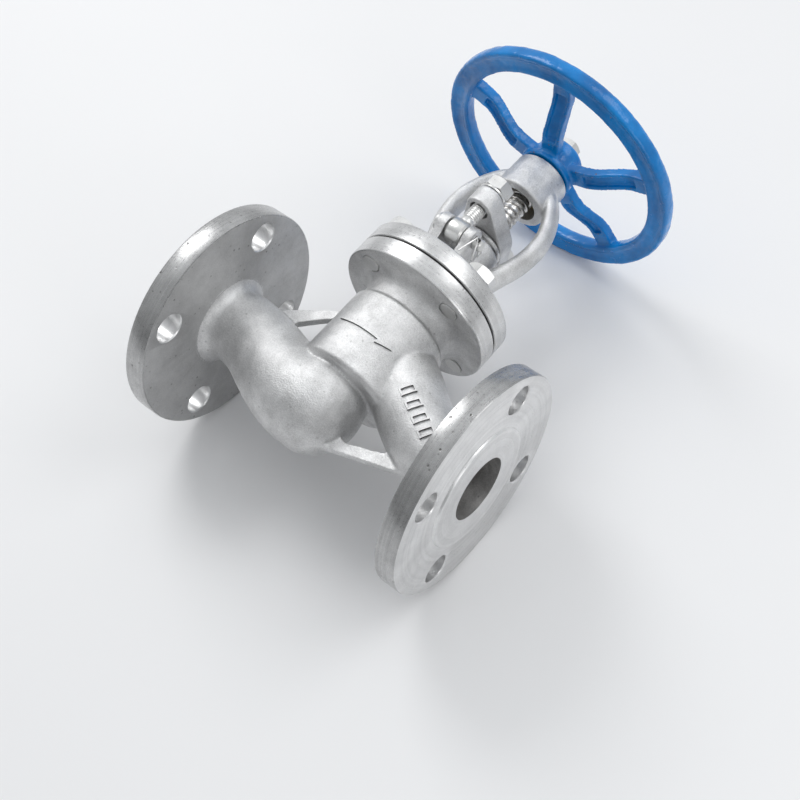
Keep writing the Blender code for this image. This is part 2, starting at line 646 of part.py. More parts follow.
def eyebolt_set(shop):
    """Front eyebolt, its pin, split pin, washer and nut, each copied to the back."""
    axis = (0.0, -EYEBOLT_Y, 0.0)
    place = Matrix.Translation((0.0, -EYEBOLT_Y * MM, 0.0))
    half = EYE_WIDTH / 2
    eye = shop.tube("eye", [(-half, -EYEBOLT_Y, EYE_Z, EYE_R), (half, -EYEBOLT_Y, EYE_Z, EYE_R)], 8)
    nut_z = GLAND_FLANGE_Z1 + WASHER_H + 2 * GAP
    shank = shop.ring("shank", 0.0, EYEBOLT_R, EYE_Z + 4.0, nut_z + GLAND_NUT_H + 1.0, 20, axis[:2])
    hole = shop.tube("eye_hole", [(-20.0, -EYEBOLT_Y, EYE_Z, EYE_PIN_R + GAP),
                                  (20.0, -EYEBOLT_Y, EYE_Z, EYE_PIN_R + GAP)], 5)
    shop.combine(eye, [shank], "UNION")
    shop.combine(eye, [hole], "DIFFERENCE")
    pieces = [shop.keep(eye, "eyebolt_front", "machined_steel", axis)]

    outer = half + LUG_SIDE_GAP + LUG_THICK + GAP
    split_x = outer + 2.6
    head = [(-outer - 2.5, -EYEBOLT_Y, EYE_Z, EYE_PIN_R + 1.6),
            (-outer, -EYEBOLT_Y, EYE_Z, EYE_PIN_R + 1.6)]
    rod = [(-outer - 1.0, -EYEBOLT_Y, EYE_Z, EYE_PIN_R), (split_x + 2.6, -EYEBOLT_Y, EYE_Z, EYE_PIN_R)]
    pin = shop.tube("pin", rod, 5)
    shop.combine(pin, [shop.tube("pin_head", head, 5)], "UNION")
    cross = [(split_x, -EYEBOLT_Y - 9.0, EYE_Z, 1.6), (split_x, -EYEBOLT_Y + 9.0, EYE_Z, 1.6)]
    shop.combine(pin, [shop.tube("split_hole", cross, 3)], "DIFFERENCE")
    pieces.append(shop.keep(pin, "eyebolt_pin_front", "machined_steel", axis))
    pieces.append(split_pin(shop, split_x, axis))

    washer = shop.ring("washer", EYEBOLT_R + GAP, 9.0, GLAND_FLANGE_Z1 + GAP,
                       GLAND_FLANGE_Z1 + GAP + WASHER_H)
    washer.matrix_world = place
    pieces.append(shop.keep(washer, "gland_washer_front", "machined_steel", axis))
    outline = [hexagon(GLAND_NUT_FLATS), ring_points(EYEBOLT_R + GAP, 20)]
    nut = shop.plate("nut", outline, nut_z, nut_z + GLAND_NUT_H, place)
    pieces.append(shop.keep(nut, "gland_nut_front", "machined_steel", axis))
    for piece in pieces:
        shop.copy(piece, piece.name.replace("_front", "_back"), HALF_TURN)


def split_pin(shop, x, axis):
    """Split pin: one wire through the pin, its loop behind and two bent legs in front."""
    y = -EYEBOLT_Y
    lead = EYE_PIN_R + 1.4
    side = 0.68
    loop = [(x, y + lead + 3.2 + 2.2 * math.sin(math.radians(a)),
             EYE_Z + 2.2 * math.cos(math.radians(a)), 0.5) for a in range(40, 141, 25)]
    points = [(x - 2.4, y - lead - 4.2, EYE_Z - 15.5, 0.5), (x, y - lead - 2.8, EYE_Z - 3.0, 0.5),
              (x, y - lead - 1.2, EYE_Z + side, 0.5), (x, y + lead, EYE_Z + side, 0.5)]
    points += loop
    points += [(x, y + lead, EYE_Z - side, 0.5), (x, y - lead, EYE_Z - side, 0.5),
               (x + 0.9, y - lead, EYE_Z - 2.6, 0.5), (x + 2.4, y + 2.6, EYE_Z - 10.5, 0.5)]
    wire = shop.tube("split_pin", points, 2)
    return shop.keep(wire, "split_pin_front", "machined_steel", axis)


def stem_nut(shop):
    """Brass nut in the yoke hub, and the screw that stops it turning."""
    top = YOKE_HUB_Z1 - GAP
    bore = STEM_R + 0.25
    outline = [(bore, top), (STEM_NUT_COLLAR_R, top), (STEM_NUT_COLLAR_R, top - STEM_NUT_COLLAR_H),
               (YOKE_HUB_BORE_R - GAP, top - STEM_NUT_COLLAR_H), (YOKE_HUB_BORE_R - GAP, STEM_NUT_Z0),
               (bore, STEM_NUT_Z0)]
    nut = shop.turned("stem_nut", outline, 24, ring=True)
    shop.keep(nut, "stem_nut", "brass")
    z = (STEM_NUT_Z0 + YOKE_HUB_Z1) / 2
    screw = shop.tube("screw", [(0.0, YOKE_HUB_BORE_R + 0.2, z, 2.5), (0.0, YOKE_HUB_R - 0.8, z, 2.5)], 3)
    return shop.keep(screw, "stem_nut_screw", "machined_steel")


def spoke_outline():
    """Side view of a spoke, as (radius, height): flat, a smooth climb, and flat."""
    bottom = [(WHEEL_HUB_R - 3.0, SPOKE_HUB_Z)]
    for step in range(9):
        part = step / 8
        climb = part * part * (3 - 2 * part)
        bottom.append((SPOKE_BEND_R0 + (SPOKE_BEND_R1 - SPOKE_BEND_R0) * part,
                       SPOKE_HUB_Z + (SPOKE_RIM_Z - SPOKE_HUB_Z) * climb))
    bottom.append((WHEEL_R - WHEEL_RIM_WIDTH + 3.0, SPOKE_RIM_Z))
    top = [(r, z + SPOKE_DEPTH) for r, z in reversed(bottom)]
    return bottom + top


def handwheel(shop):
    """Handwheel: rounded rim, five dished spokes and a collared hub."""
    mid_r = WHEEL_R - WHEEL_RIM_WIDTH / 2
    half_w = WHEEL_RIM_WIDTH / 2
    rim = []
    for x, y in arc_points((0.0, 0.0), 1.0, 90, -270, 10)[:-1]:
        squash = 1.0 / (abs(x) ** 3 + abs(y) ** 3) ** (1 / 3)
        rim.append((mid_r + half_w * x * squash, WHEEL_RIM_Z + WHEEL_RIM_HALF_H * y * squash))
    wheel = shop.turned("handwheel", rim, WHEEL_SIDES, ring=True)
    hub = [(0.0, WHEEL_HUB_Z1), (WHEEL_HUB_R - 2.0, WHEEL_HUB_Z1), (WHEEL_HUB_R, WHEEL_HUB_Z1 - 2.0),
           (WHEEL_HUB_R, WHEEL_HUB_Z0 + 5.5), (WHEEL_COLLAR_R, WHEEL_HUB_Z0 + 4.5),
           (WHEEL_COLLAR_R, WHEEL_HUB_Z0), (0.0, WHEEL_HUB_Z0)]
    joined = [shop.turned("wheel_hub", hub, 32)]
    for number in range(SPOKES):
        turn = Matrix.Rotation(math.radians(FIRST_SPOKE_DEG) + 2 * math.pi * number / SPOKES, 4, "Z")
        joined.append(shop.plate("spoke", [spoke_outline()], -SPOKE_WIDTH / 2, SPOKE_WIDTH / 2,
                                 turn @ UPRIGHT_PLATE))
    shop.combine(wheel, joined, "UNION")
    half = STEM_SQUARE / 2 + GAP
    square = [(half, half), (-half, half), (-half, -half), (half, -half)]
    cut = shop.plate("wheel_square", [square], WHEEL_HUB_Z0 - 5.0, WHEEL_HUB_Z1 + 5.0)
    shop.combine(wheel, [cut], "DIFFERENCE")
    return shop.keep(wheel, "handwheel", "blue_paint")


def wheel_fixing(shop):
    """Washer and nut that hold the wheel on the stem's square."""
    low = WHEEL_HUB_Z1 + GAP
    washer = shop.ring("wheel_washer", STEM_END_R + GAP, 8.5, low, low + WASHER_H)
    shop.keep(washer, "wheel_washer", "machined_steel")
    nut_z = low + WASHER_H + GAP
    outline = [hexagon(WHEEL_NUT_FLATS), ring_points(STEM_END_R + GAP, 20)]
    nut = shop.plate("wheel_nut", outline, nut_z, nut_z + WHEEL_NUT_H)
    return shop.keep(nut, "wheel_nut", "machined_steel")


def lay_down(shop):
    """Hang every piece and cutter on one empty, and lay the valve on the floor."""
    bpy.context.view_layer.update()
    pose = bpy.data.objects.new("lying_pose", None)
    shop.pieces.objects.link(pose)
    for item in [*shop.pieces.objects, *shop.tools.objects]:
        if item is not pose:
            item.parent = pose
    pose.location = (0.0, CENTRE_SHIFT * MM, FLANGE_R * MM)
    pose.rotation_euler = (-(math.pi / 2 - LIE_ANGLE), 0.0, 0.0)


def main():
    """Build the valve from the seat outwards."""
    clear_scene()
    shop = Shop()
    valve_body(shop)
    seat_ring(shop)
    disc_and_nut(shop)
    stem(shop)
    bonnet(shop)
    bonnet_joint(shop)
    packing(shop)
    gland_flange(shop)
    eyebolt_set(shop)
    stem_nut(shop)
    handwheel(shop)
    wheel_fixing(shop)
    lay_down(shop)


main()
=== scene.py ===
"""Detailed pieces, finishes, floor, light and camera for a flanged globe valve.

Every piece is modelled in the valve's own frame, in millimetres: X runs along the pipe
to the outlet, Z runs along the stem to the handwheel.  Bench.finish then lays it down.
"""

import json
import logging
import math
from dataclasses import dataclass
from enum import Enum
from typing import Callable, Optional, Sequence

import bpy
from mathutils import Matrix, Vector

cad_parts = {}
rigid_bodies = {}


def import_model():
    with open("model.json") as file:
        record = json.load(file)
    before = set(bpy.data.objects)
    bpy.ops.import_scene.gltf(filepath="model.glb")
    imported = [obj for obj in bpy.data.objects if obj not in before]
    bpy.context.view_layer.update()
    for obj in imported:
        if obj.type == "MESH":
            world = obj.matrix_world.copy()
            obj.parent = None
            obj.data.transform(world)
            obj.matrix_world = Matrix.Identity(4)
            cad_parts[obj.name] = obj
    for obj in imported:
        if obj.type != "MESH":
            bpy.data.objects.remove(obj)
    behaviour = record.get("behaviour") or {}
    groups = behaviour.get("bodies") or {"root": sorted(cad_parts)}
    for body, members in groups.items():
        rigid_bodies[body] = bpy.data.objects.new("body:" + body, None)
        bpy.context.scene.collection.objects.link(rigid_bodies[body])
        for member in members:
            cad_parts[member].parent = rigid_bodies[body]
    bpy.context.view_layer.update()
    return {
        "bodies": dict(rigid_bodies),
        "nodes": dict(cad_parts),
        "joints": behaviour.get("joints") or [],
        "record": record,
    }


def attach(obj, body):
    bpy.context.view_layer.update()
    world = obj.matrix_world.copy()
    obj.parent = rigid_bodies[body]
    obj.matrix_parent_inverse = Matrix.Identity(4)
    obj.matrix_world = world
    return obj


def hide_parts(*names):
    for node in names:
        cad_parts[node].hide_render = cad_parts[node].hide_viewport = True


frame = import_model()

Point = Sequence[float]
Solid = bpy.types.Object
Socket = bpy.types.NodeSocket
Material = bpy.types.Material

LOG = logging.getLogger("globe_valve")
MM = 0.001
MERGE = 0.000001
OUTLET_MOUNT_HEIGHT = 0.029

JOINT_FLANGE_R = 50.3
BONNET_BOLT_CIRCLE_R = 40.0
EYE_Y, EYE_Z = 31.6, 112.0
EYE_PIN_BORE_R = 4.1
SET_SCREW_Z = 186.45


def lying_pose() -> Matrix:
    """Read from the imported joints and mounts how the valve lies.

    Returns:
        The matrix from the valve's own frame to the world.
    """
    turn = next(joint for joint in frame["joints"] if joint["name"] == "stem_turn")
    stem = Vector(turn["axis"]).normalized()
    mount = next(m for m in frame["record"]["mounts"] if m["name"] == "outlet_face")
    at = Vector(mount["pos_m"]) - stem * OUTLET_MOUNT_HEIGHT
    angle = math.atan2(stem.z, stem.y)
    return Matrix.Translation((0.0, at.y, at.z)) @ Matrix.Rotation(angle - math.pi / 2, 4, "X")


LAY = lying_pose()
CENTRE = LAY.translation.copy()


class Mixing(str, Enum):
    """Ways of combining two closed shapes."""

    WELD = "UNION"
    CARVE = "DIFFERENCE"
    COMMON = "INTERSECT"


class Turning(Enum):
    """Axis that a surface was turned about in the lathe."""

    NONE = 0
    PIPE = 1
    STEM = 2


def arc(centre: Point, radius: float, start: float, stop: float, steps: int) -> list[Point]:
    """Give the points of an arc.

    Args:
        centre: The arc's centre.
        radius: Its radius.
        start: First angle, in degrees.
        stop: Last angle, in degrees.
        steps: How many chords it has.

    Returns:
        steps + 1 points.
    """
    points = []
    for step in range(steps + 1):
        angle = math.radians(start + (stop - start) * step / steps)
        points.append((centre[0] + radius * math.cos(angle), centre[1] + radius * math.sin(angle)))
    return points


def square(half: float) -> list[Point]:
    """Give the corners of a square of this half width."""
    return [(half, half), (-half, half), (-half, -half), (half, -half)]


def cut_thread(crest: float, root: float, top: float, foot: float, pitch: float,
               land: float, flank: float) -> list[Point]:
    """Draw the outline of rings that look like a thread, from the top down.

    Args:
        crest: Outer radius.
        root: Inner radius.
        top: Height where the first ring starts.
        foot: Height below which no ring starts.
        pitch: Height of one ring.
        land: Flat above each groove.
        flank: Height of each side of a groove.

    Returns:
        The (radius, height) points.
    """
    outline, level = [], top
    while level > foot:
        start, floor = level - land, level - land - flank
        outline += [(crest, start), (root, floor), (root, floor - 0.15), (crest, floor - 0.15 - flank)]
        level -= pitch
    return outline


def ring_spots(radius: float, count: int, phase: float) -> list[Point]:
    """Give evenly spread points on a circle, the first at phase degrees."""
    return arc((0.0, 0.0), radius, phase, phase + 360.0 * (count - 1) / count, count - 1)


def smoothed(points: Sequence[Point], steps: int) -> list[Point]:
    """Run a smooth curve through points of any number of values.

    Args:
        points: The points to pass through.
        steps: How many steps lead from each point to the next.

    Returns:
        The curve's points.
    """
    ends = [points[0], *points, points[-1]]
    curve = []
    for i in range(1, len(ends) - 2):
        for step in range(steps):
            t = step / steps
            curve.append(tuple(
                0.5 * (2 * b + (c - a) * t + (2 * a - 5 * b + 4 * c - d) * t * t
                       + (3 * b - a - 3 * c + d) * t * t * t)
                for a, b, c, d in zip(ends[i - 1], ends[i], ends[i + 1], ends[i + 2])))
    return [*curve, tuple(points[-1])]


class Bench:
    """The modelling moves that every sub-assembly shares."""

    @staticmethod
    def clear() -> None:
        """Deselect everything."""
        if bpy.context.object and bpy.context.object.mode != "OBJECT":
            bpy.ops.object.mode_set(mode="OBJECT")
        bpy.ops.object.select_all(action="DESELECT")

    @staticmethod
    def pick(*items: Solid) -> None:
        """Select these objects alone, the first one active."""
        Bench.clear()
        for item in items:
            item.select_set(True)
        bpy.context.view_layer.objects.active = items[0]

    @staticmethod
    def edit(item: Solid) -> None:
        """Enter edit mode on an object, all of its mesh selected."""
        Bench.pick(item)
        bpy.ops.object.mode_set(mode="EDIT")
        bpy.ops.mesh.select_all(action="SELECT")

    @staticmethod
    def close_up(item: Solid) -> Solid:
        """Merge doubled points, turn the faces outwards and leave edit mode."""
        bpy.ops.mesh.select_all(action="SELECT")
        bpy.ops.mesh.remove_doubles(threshold=MERGE)
        bpy.ops.mesh.normals_make_consistent(inside=False)
        bpy.ops.object.mode_set(mode="OBJECT")
        return item

    @staticmethod
    def wire(points: Sequence[Point]) -> Solid:
        """Pull one point from place to place into a chain of edges, and stay in edit mode.

        Args:
            points: The chain's points, in millimetres.

        Returns:
            The chain's object.
        """
        Bench.clear()
        bpy.ops.mesh.primitive_plane_add(size=MM)
        item = bpy.context.object
        bpy.ops.object.mode_set(mode="EDIT")
        bpy.ops.mesh.select_all(action="SELECT")
        bpy.ops.mesh.merge(type="CENTER")
        bpy.ops.transform.translate(value=Vector(points[0]) * MM)
        for start, stop in zip(points, points[1:]):
            move = (Vector(stop) - Vector(start)) * MM
            bpy.ops.mesh.extrude_vertices_move(TRANSFORM_OT_translate={"value": move})
        return item

    @staticmethod
    def turned(outline: Sequence[Point], steps: int = 96, matrix: Optional[Matrix] = None,
               ring: bool = False) -> Solid:
        """Spin an outline about Z into a closed solid.

        Args:
            outline: Its (radius, height) points, from the axis to the axis unless ring.
            steps: How many sides the solid has.
            matrix: Where the solid goes, in millimetres.
            ring: Whether the outline closes on itself.

        Returns:
            The solid.
        """
        points = [(r, 0.0, z) for r, z in outline]
        item = Bench.wire([*points, points[0]] if ring else points)
        bpy.ops.mesh.select_all(action="SELECT")
        bpy.ops.mesh.spin(steps=steps, angle=2 * math.pi, center=(0, 0, 0), axis=(0, 0, 1))
        return Bench.placed(Bench.close_up(item), matrix)

    @staticmethod
    def cylinder(radius: float, low: float, high: float, steps: int = 40,
                 matrix: Optional[Matrix] = None) -> Solid:
        """Turn a plain cylinder from one height to another."""
        return Bench.turned([(0.0, high), (radius, high), (radius, low), (0.0, low)], steps, matrix)

    @staticmethod
    def placed(item: Solid, matrix: Optional[Matrix]) -> Solid:
        """Put an object by a matrix in millimetres, and carry the place into its mesh."""
        if matrix is not None:
            shift = matrix.copy()
            shift.translation = shift.translation * MM
            item.matrix_world = shift
            Bench.pick(item)
            bpy.ops.object.transform_apply(location=True, rotation=True, scale=True)
        return item

    @staticmethod
    def plate(outline: Sequence[Point], low: float, high: float,
              matrix: Optional[Matrix] = None) -> Solid:
        """Fill an outline and pull it up into a plate.

        Args:
            outline: The (x, y) corners.
            low: Height of the lower face.
            high: Height of the upper face.
            matrix: Where the plate goes, in millimetres.

        Returns:
            The plate.
        """
        points = [(x, y, low) for x, y in outline]
        item = Bench.wire([*points, points[0]])
        bpy.ops.mesh.select_all(action="SELECT")
        bpy.ops.mesh.remove_doubles(threshold=MERGE)
        bpy.ops.mesh.edge_face_add()
        bpy.ops.mesh.extrude_region_move(TRANSFORM_OT_translate={"value": (0, 0, (high - low) * MM)})
        return Bench.placed(Bench.close_up(item), matrix)

    @staticmethod
    def lofted(path: Sequence[Point], sides: int = 48, oval: float = 1.0,
               mirror: int = 1) -> Solid:
        """Pull a round or oval face along a path in the XZ plane.

        Args:
            path: (x, z, radius) stations; the radius lies in the plane.
            sides: How many sides the section has.
            oval: Width across the plane as a share of the width in it.
            mirror: -1 takes every x on the other side.

        Returns:
            The closed tube.
        """
        spots = [Vector((mirror * x, 0.0, z)) * MM for x, z, _ in path]
        ways = [spots[min(i + 1, len(spots) - 1)] - spots[max(i - 1, 0)] for i in range(len(spots))]
        angles = [math.atan2(way.x, way.z) for way in ways]
        Bench.clear()
        bpy.ops.mesh.primitive_circle_add(vertices=sides, radius=path[0][2] * MM, fill_type="NGON",
                                          location=spots[0], rotation=(0.0, angles[0], 0.0))
        item = bpy.context.object
        item.scale.y = oval
        bpy.ops.object.transform_apply(location=True, rotation=True, scale=True)
        Bench.edit(item)
        for i in range(1, len(spots)):
            bpy.ops.mesh.extrude_region_move(TRANSFORM_OT_translate={"value": spots[i] - spots[i - 1]})
            turn = math.remainder(angles[i] - angles[i - 1], 2 * math.pi)
            bpy.ops.transform.rotate(value=-turn, orient_axis="Y", center_override=spots[i])
            grow = path[i][2] / path[i - 1][2]
            bpy.ops.transform.resize(value=(grow, grow, grow), center_override=spots[i])
        return Bench.close_up(item)

    @staticmethod
    def ball(centre: Point, radii: Point) -> Solid:
        """Stretch a sphere into an egg at a place in millimetres."""
        Bench.clear()
        bpy.ops.mesh.primitive_uv_sphere_add(segments=64, ring_count=40, radius=1.0)
        item = bpy.context.object
        item.scale = Vector(radii) * MM
        item.location = Vector(centre) * MM
        bpy.ops.object.transform_apply(location=True, rotation=True, scale=True)
        return item

    @staticmethod
    def round_rod(points: Sequence[Point], radius: float) -> Solid:
        """Give a chain of points a round section.

        Args:
            points: The rod's centre line, in millimetres.
            radius: The rod's radius, in millimetres.

        Returns:
            The closed rod.
        """
        item = Bench.wire(points)
        bpy.ops.object.mode_set(mode="OBJECT")
        bpy.ops.object.convert(target="CURVE")
        item = bpy.context.object
        item.data.bevel_depth = radius * MM
        item.data.bevel_resolution = 3
        item.data.use_fill_caps = True
        bpy.ops.object.convert(target="MESH")
        item = bpy.context.object
        Bench.edit(item)
        return Bench.close_up(item)

    @staticmethod
    def modify(item: Solid, kind: str, **settings: object) -> Solid:
        """Add a modifier with these settings and apply it."""
        Bench.pick(item)
        modifier = item.modifiers.new(kind.lower(), kind)
        for name, value in settings.items():
            setattr(modifier, name, value)
        bpy.ops.object.modifier_apply(modifier=modifier.name)
        return item

    @staticmethod
    def mix(item: Solid, others: Sequence[Solid],
            mixing: Mixing, solver: str = "MANIFOLD") -> Solid:
        """Weld shapes to an object, or carve them from it, and use them up."""
        for other in others:
            Bench.modify(item, "BOOLEAN", operation=mixing.value, object=other, solver=solver)
            bpy.data.objects.remove(other, do_unlink=True)
        return item

    @staticmethod
    def cast(parts: Sequence[Solid], grain: float, relax: int) -> Solid:
        """Melt overlapping shapes into one skin with soft inner corners.

        Args:
            parts: The closed shapes.
            grain: The skin's mesh size, in millimetres.
            relax: How many rounds of smoothing soften the corners.

        Returns:
            The first shape, which now holds them all.
        """
        Bench.pick(*parts)
        bpy.ops.object.join()
        item = bpy.context.object
        Bench.modify(item, "REMESH", mode="VOXEL", voxel_size=grain * MM, adaptivity=0.0)
        return Bench.modify(item, "SMOOTH", factor=0.5, iterations=relax)

    @staticmethod
    def roughen(item: Solid, depth: float, size: float) -> Solid:
        """Move a dense skin in and out by a cloud pattern.

        Args:
            item: The skin.
            depth: How far it moves in all, in millimetres.
            size: The size of the swells, in millimetres.

        Returns:
            The skin.
        """
        texture = bpy.data.textures.new("cast_swell", "CLOUDS")
        texture.noise_scale = size * MM
        texture.noise_depth = 2
        return Bench.modify(item, "DISPLACE", texture=texture, strength=depth * MM,
                            mid_level=0.5, texture_coords="LOCAL")

    @staticmethod
    def twin(item: Solid, name: str, matrix: Matrix) -> Solid:
        """Copy a piece with a mesh of its own, moved by a matrix in millimetres."""
        Bench.pick(item)
        bpy.ops.object.duplicate(linked=False)
        copy = bpy.context.object
        copy.name = name
        return Bench.placed(copy, matrix)

    @staticmethod
    def tint(item: Solid, finishes: "Finishes", *keys: str,
             rule: Optional[Callable[[Vector, Vector], str]] = None) -> Solid:
        """Give a piece its finishes, each face by its place and normal.

        Args:
            item: The piece, not yet laid down.
            finishes: The finishes to choose from.
            keys: Names of the finishes it has.
            rule: Takes a face's middle in millimetres and its normal, gives a name.

        Returns:
            The piece.
        """
        item.data.materials.clear()
        for key in keys:
            item.data.materials.append(finishes[key])
        for face in item.data.polygons:
            face.material_index = keys.index(rule(face.center / MM, face.normal)) if rule else 0
        return item

    @staticmethod
    def finish(item: Solid, name: str, body: str, slot: str,
               stands_for: Sequence[str] = (), angle: float = 35.0) -> Solid:
        """Shade a piece, lay it down and hand it to its body.

        Args:
            item: The piece, in the valve's own frame.
            name: Its name.
            body: The moving body it rides on.
            slot: The record's material slot; not used.
            stands_for: The CAD nodes it is shown in place of.
            angle: Edges sharper than this many degrees stay crisp.

        Returns:
            The piece.
        """
        item.name = item.data.name = name
        item.matrix_world = LAY
        Bench.pick(item)
        bpy.ops.object.transform_apply(location=True, rotation=True, scale=True)
        bpy.ops.object.shade_smooth_by_angle(angle=math.radians(angle))
        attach(item, body)
        if stands_for:
            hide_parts(*stands_for)
        LOG.info("%s: %d faces on %s", name, len(item.data.polygons), body)
        return item


class Nodes:
    """A material's node sheet, and the patterns that the finishes draw on it."""

    def __init__(self, name: str) -> None:
        """Start an empty Principled material with this name."""
        self.material = bpy.data.materials.new(name)
        self.material.use_nodes = True
        self.tree = self.material.node_tree
        self.shader = self.tree.nodes["Principled BSDF"]
        self.place = self.add("ShaderNodeTexCoord", out="Object")

    def add(self, kind: str, out: object = 0, feed: Optional[dict] = None,
            **settings: object) -> Socket:
        """Add a node.

        Args:
            kind: The node's type.
            out: Name or number of the output wanted.
            feed: Values or sockets for its inputs, by name or number.
            settings: The node's own settings.

        Returns:
            The output socket.
        """
        node = self.tree.nodes.new(kind)
        for name, value in settings.items():
            setattr(node, name, value)
        for name, value in (feed or {}).items():
            if isinstance(value, Socket):
                self.tree.links.new(value, node.inputs[name])
            else:
                node.inputs[name].default_value = value
        return node.outputs[out]

    def sum(self, operation: str, a: object, b: object) -> Socket:
        """Work out one number from two."""
        return self.add("ShaderNodeMath", feed={0: a, 1: b}, operation=operation, use_clamp=False)

    def times(self, a: object, b: object) -> Socket:
        """Multiply two numbers."""
        return self.sum("MULTIPLY", a, b)

    def plus(self, a: object, b: object) -> Socket:
        """Add two numbers."""
        return self.sum("ADD", a, b)

    def spots(self, size_mm: float) -> Socket:
        """Give the distance to the nearest of scattered points this far apart."""
        return self.add("ShaderNodeTexVoronoi", out="Distance", feed={
            "Vector": self.place, "Scale": 1.0 / (size_mm * MM), "Randomness": 1.0})

    def noise(self, size_mm: float, detail: float = 2.0, rough: float = 0.5,
              where: object = None) -> Socket:
        """Draw cloudy noise whose blobs have this size."""
        return self.add("ShaderNodeTexNoise", feed={
            "Vector": where or self.place, "Scale": 1.0 / (size_mm * MM),
            "Detail": detail, "Roughness": rough})

    def ramp(self, value: object, low: float, high: float, start: float = 0.0,
             stop: float = 1.0) -> Socket:
        """Stretch a number from low..high to start..stop, and clamp it."""
        return self.add("ShaderNodeMapRange", feed={
            0: value, 1: low, 2: high, 3: start, 4: stop}, clamp=True)

    def blend(self, share: object, a: object, b: object) -> Socket:
        """Mix two colours."""
        return self.add("ShaderNodeMix", out=2, feed={0: share, 6: a, 7: b}, data_type="RGBA")

    def turned_height(self, turning: Turning, pitch_mm: float) -> Socket:
        """Draw the rings that turning leaves, on flat faces and on rims alike.

        Args:
            turning: The axis of the lathe.
            pitch_mm: The width of one ring.

        Returns:
            A height from 0 to 1.
        """
        axis = Vector((1.0, 0.0, 0.0)) if turning is Turning.PIPE else LAY.to_3x3() @ Vector((0, 0, 1))
        from_centre = self.add("ShaderNodeVectorMath", operation="SUBTRACT",
                               feed={0: self.place, 1: CENTRE})
        along = self.add("ShaderNodeVectorMath", out="Value", operation="DOT_PRODUCT",
                         feed={0: from_centre, 1: axis})
        foot = self.add("ShaderNodeVectorMath", operation="SCALE", feed={0: axis, "Scale": along})
        out_from = self.add("ShaderNodeVectorMath", operation="SUBTRACT", feed={0: from_centre, 1: foot})
        radius = self.add("ShaderNodeVectorMath", out="Value", operation="LENGTH", feed={0: out_from})
        run = self.plus(radius, along)
        return self.add("ShaderNodeTexNoise", noise_dimensions="1D", feed={
            "W": run, "Scale": 1.0 / (pitch_mm * MM), "Detail": 3.0, "Roughness": 0.65})

    def relief(self, height: object, depth_mm: float, strength: float = 1.0) -> Socket:
        """Turn a height into a bumped normal of this depth."""
        return self.add("ShaderNodeBump", feed={
            "Strength": strength, "Distance": depth_mm * MM, "Height": height})

    def dress(self, colour: object, roughness: object, normal: object,
              **fixed: object) -> Material:
        """Join the patterns to the shader, set its fixed sockets and give the material."""
        links = self.tree.links
        links.new(colour, self.shader.inputs["Base Color"])
        links.new(roughness, self.shader.inputs["Roughness"])
        links.new(normal, self.shader.inputs["Normal"])
        for name, value in fixed.items():
            self.shader.inputs[name.replace("_", " ")].default_value = value
        return self.material


@dataclass(frozen=True)
class Metal:
    """Bare metal: blasted, cast or turned."""

    name: str
    light: Point
    dark: Point
    roughness: float
    grain_mm: float = 0.45
    grain_depth: float = 0.05
    swell_depth: float = 0.0
    pits: float = 0.0
    turning: Turning = Turning.NONE
    marks: float = 0.0
    stains: float = 0.25
    # How strongly painted shade darkens the metal in concave hollows.
    crevice_shade: float = 0.0

    def material(self) -> Material:
        """Build the metal's material."""
        nodes = Nodes(self.name)
        grain = nodes.noise(self.grain_mm, 3.0, 0.7)
        swell = nodes.noise(self.grain_mm * 7.0, 3.0, 0.55)
        cloud = nodes.noise(16.0, 4.0, 0.6)
        height = nodes.times(grain, self.grain_depth)
        height = nodes.plus(height, nodes.times(swell, self.swell_depth))
        tone = nodes.plus(nodes.times(grain, 0.45), nodes.times(cloud, 0.55))
        share = nodes.ramp(tone, 0.36, 0.62)
        rough = nodes.ramp(swell, 0.3, 0.7, self.roughness - 0.07, self.roughness + 0.07)
        if self.turning is not Turning.NONE:
            rings = nodes.turned_height(self.turning, 0.9)
            height = nodes.plus(height, nodes.times(rings, self.marks))
            wide = nodes.turned_height(self.turning, 4.0)
            bands = nodes.ramp(wide, 0.3, 0.7, 0.0, 0.35)
            share = nodes.plus(nodes.times(share, 0.65), bands)
            rough = nodes.plus(rough, nodes.ramp(rings, 0.3, 0.7, -0.06, 0.06))
        colour = nodes.blend(share, (*self.dark, 1.0), (*self.light, 1.0))
        if self.pits:
            spots = nodes.spots(4.5)
            where = nodes.ramp(nodes.noise(11.0, 2.0), 0.5, 0.62)
            hole = nodes.times(nodes.ramp(spots, 0.2, 0.08), where)
            colour = nodes.blend(nodes.times(hole, min(1.0, self.pits * 2.0)), colour,
                                 (0.09, 0.085, 0.08, 1.0))
            height = nodes.sum("SUBTRACT", height, nodes.times(hole, self.pits * 0.3))
        # Painted shade: the colour darkens where the skin is concave (low pointiness), in the hollows and
        # inner corners where shade falls.
        if self.crevice_shade:
            bend = nodes.add("ShaderNodeNewGeometry", out="Pointiness")
            colour = nodes.blend(nodes.ramp(bend, 0.425, 0.475, self.crevice_shade, 0.0), colour,
                                 tuple(0.3 * value for value in self.dark) + (1.0,))
        stain = nodes.ramp(nodes.noise(30.0, 5.0, 0.65), 0.5, 0.75, 0.0, self.stains)
        colour = nodes.blend(stain, colour, tuple(0.72 * value for value in self.dark) + (1.0,))
        return nodes.dress(colour, rough, nodes.relief(height, 1.0, 0.9), Metallic=1.0)


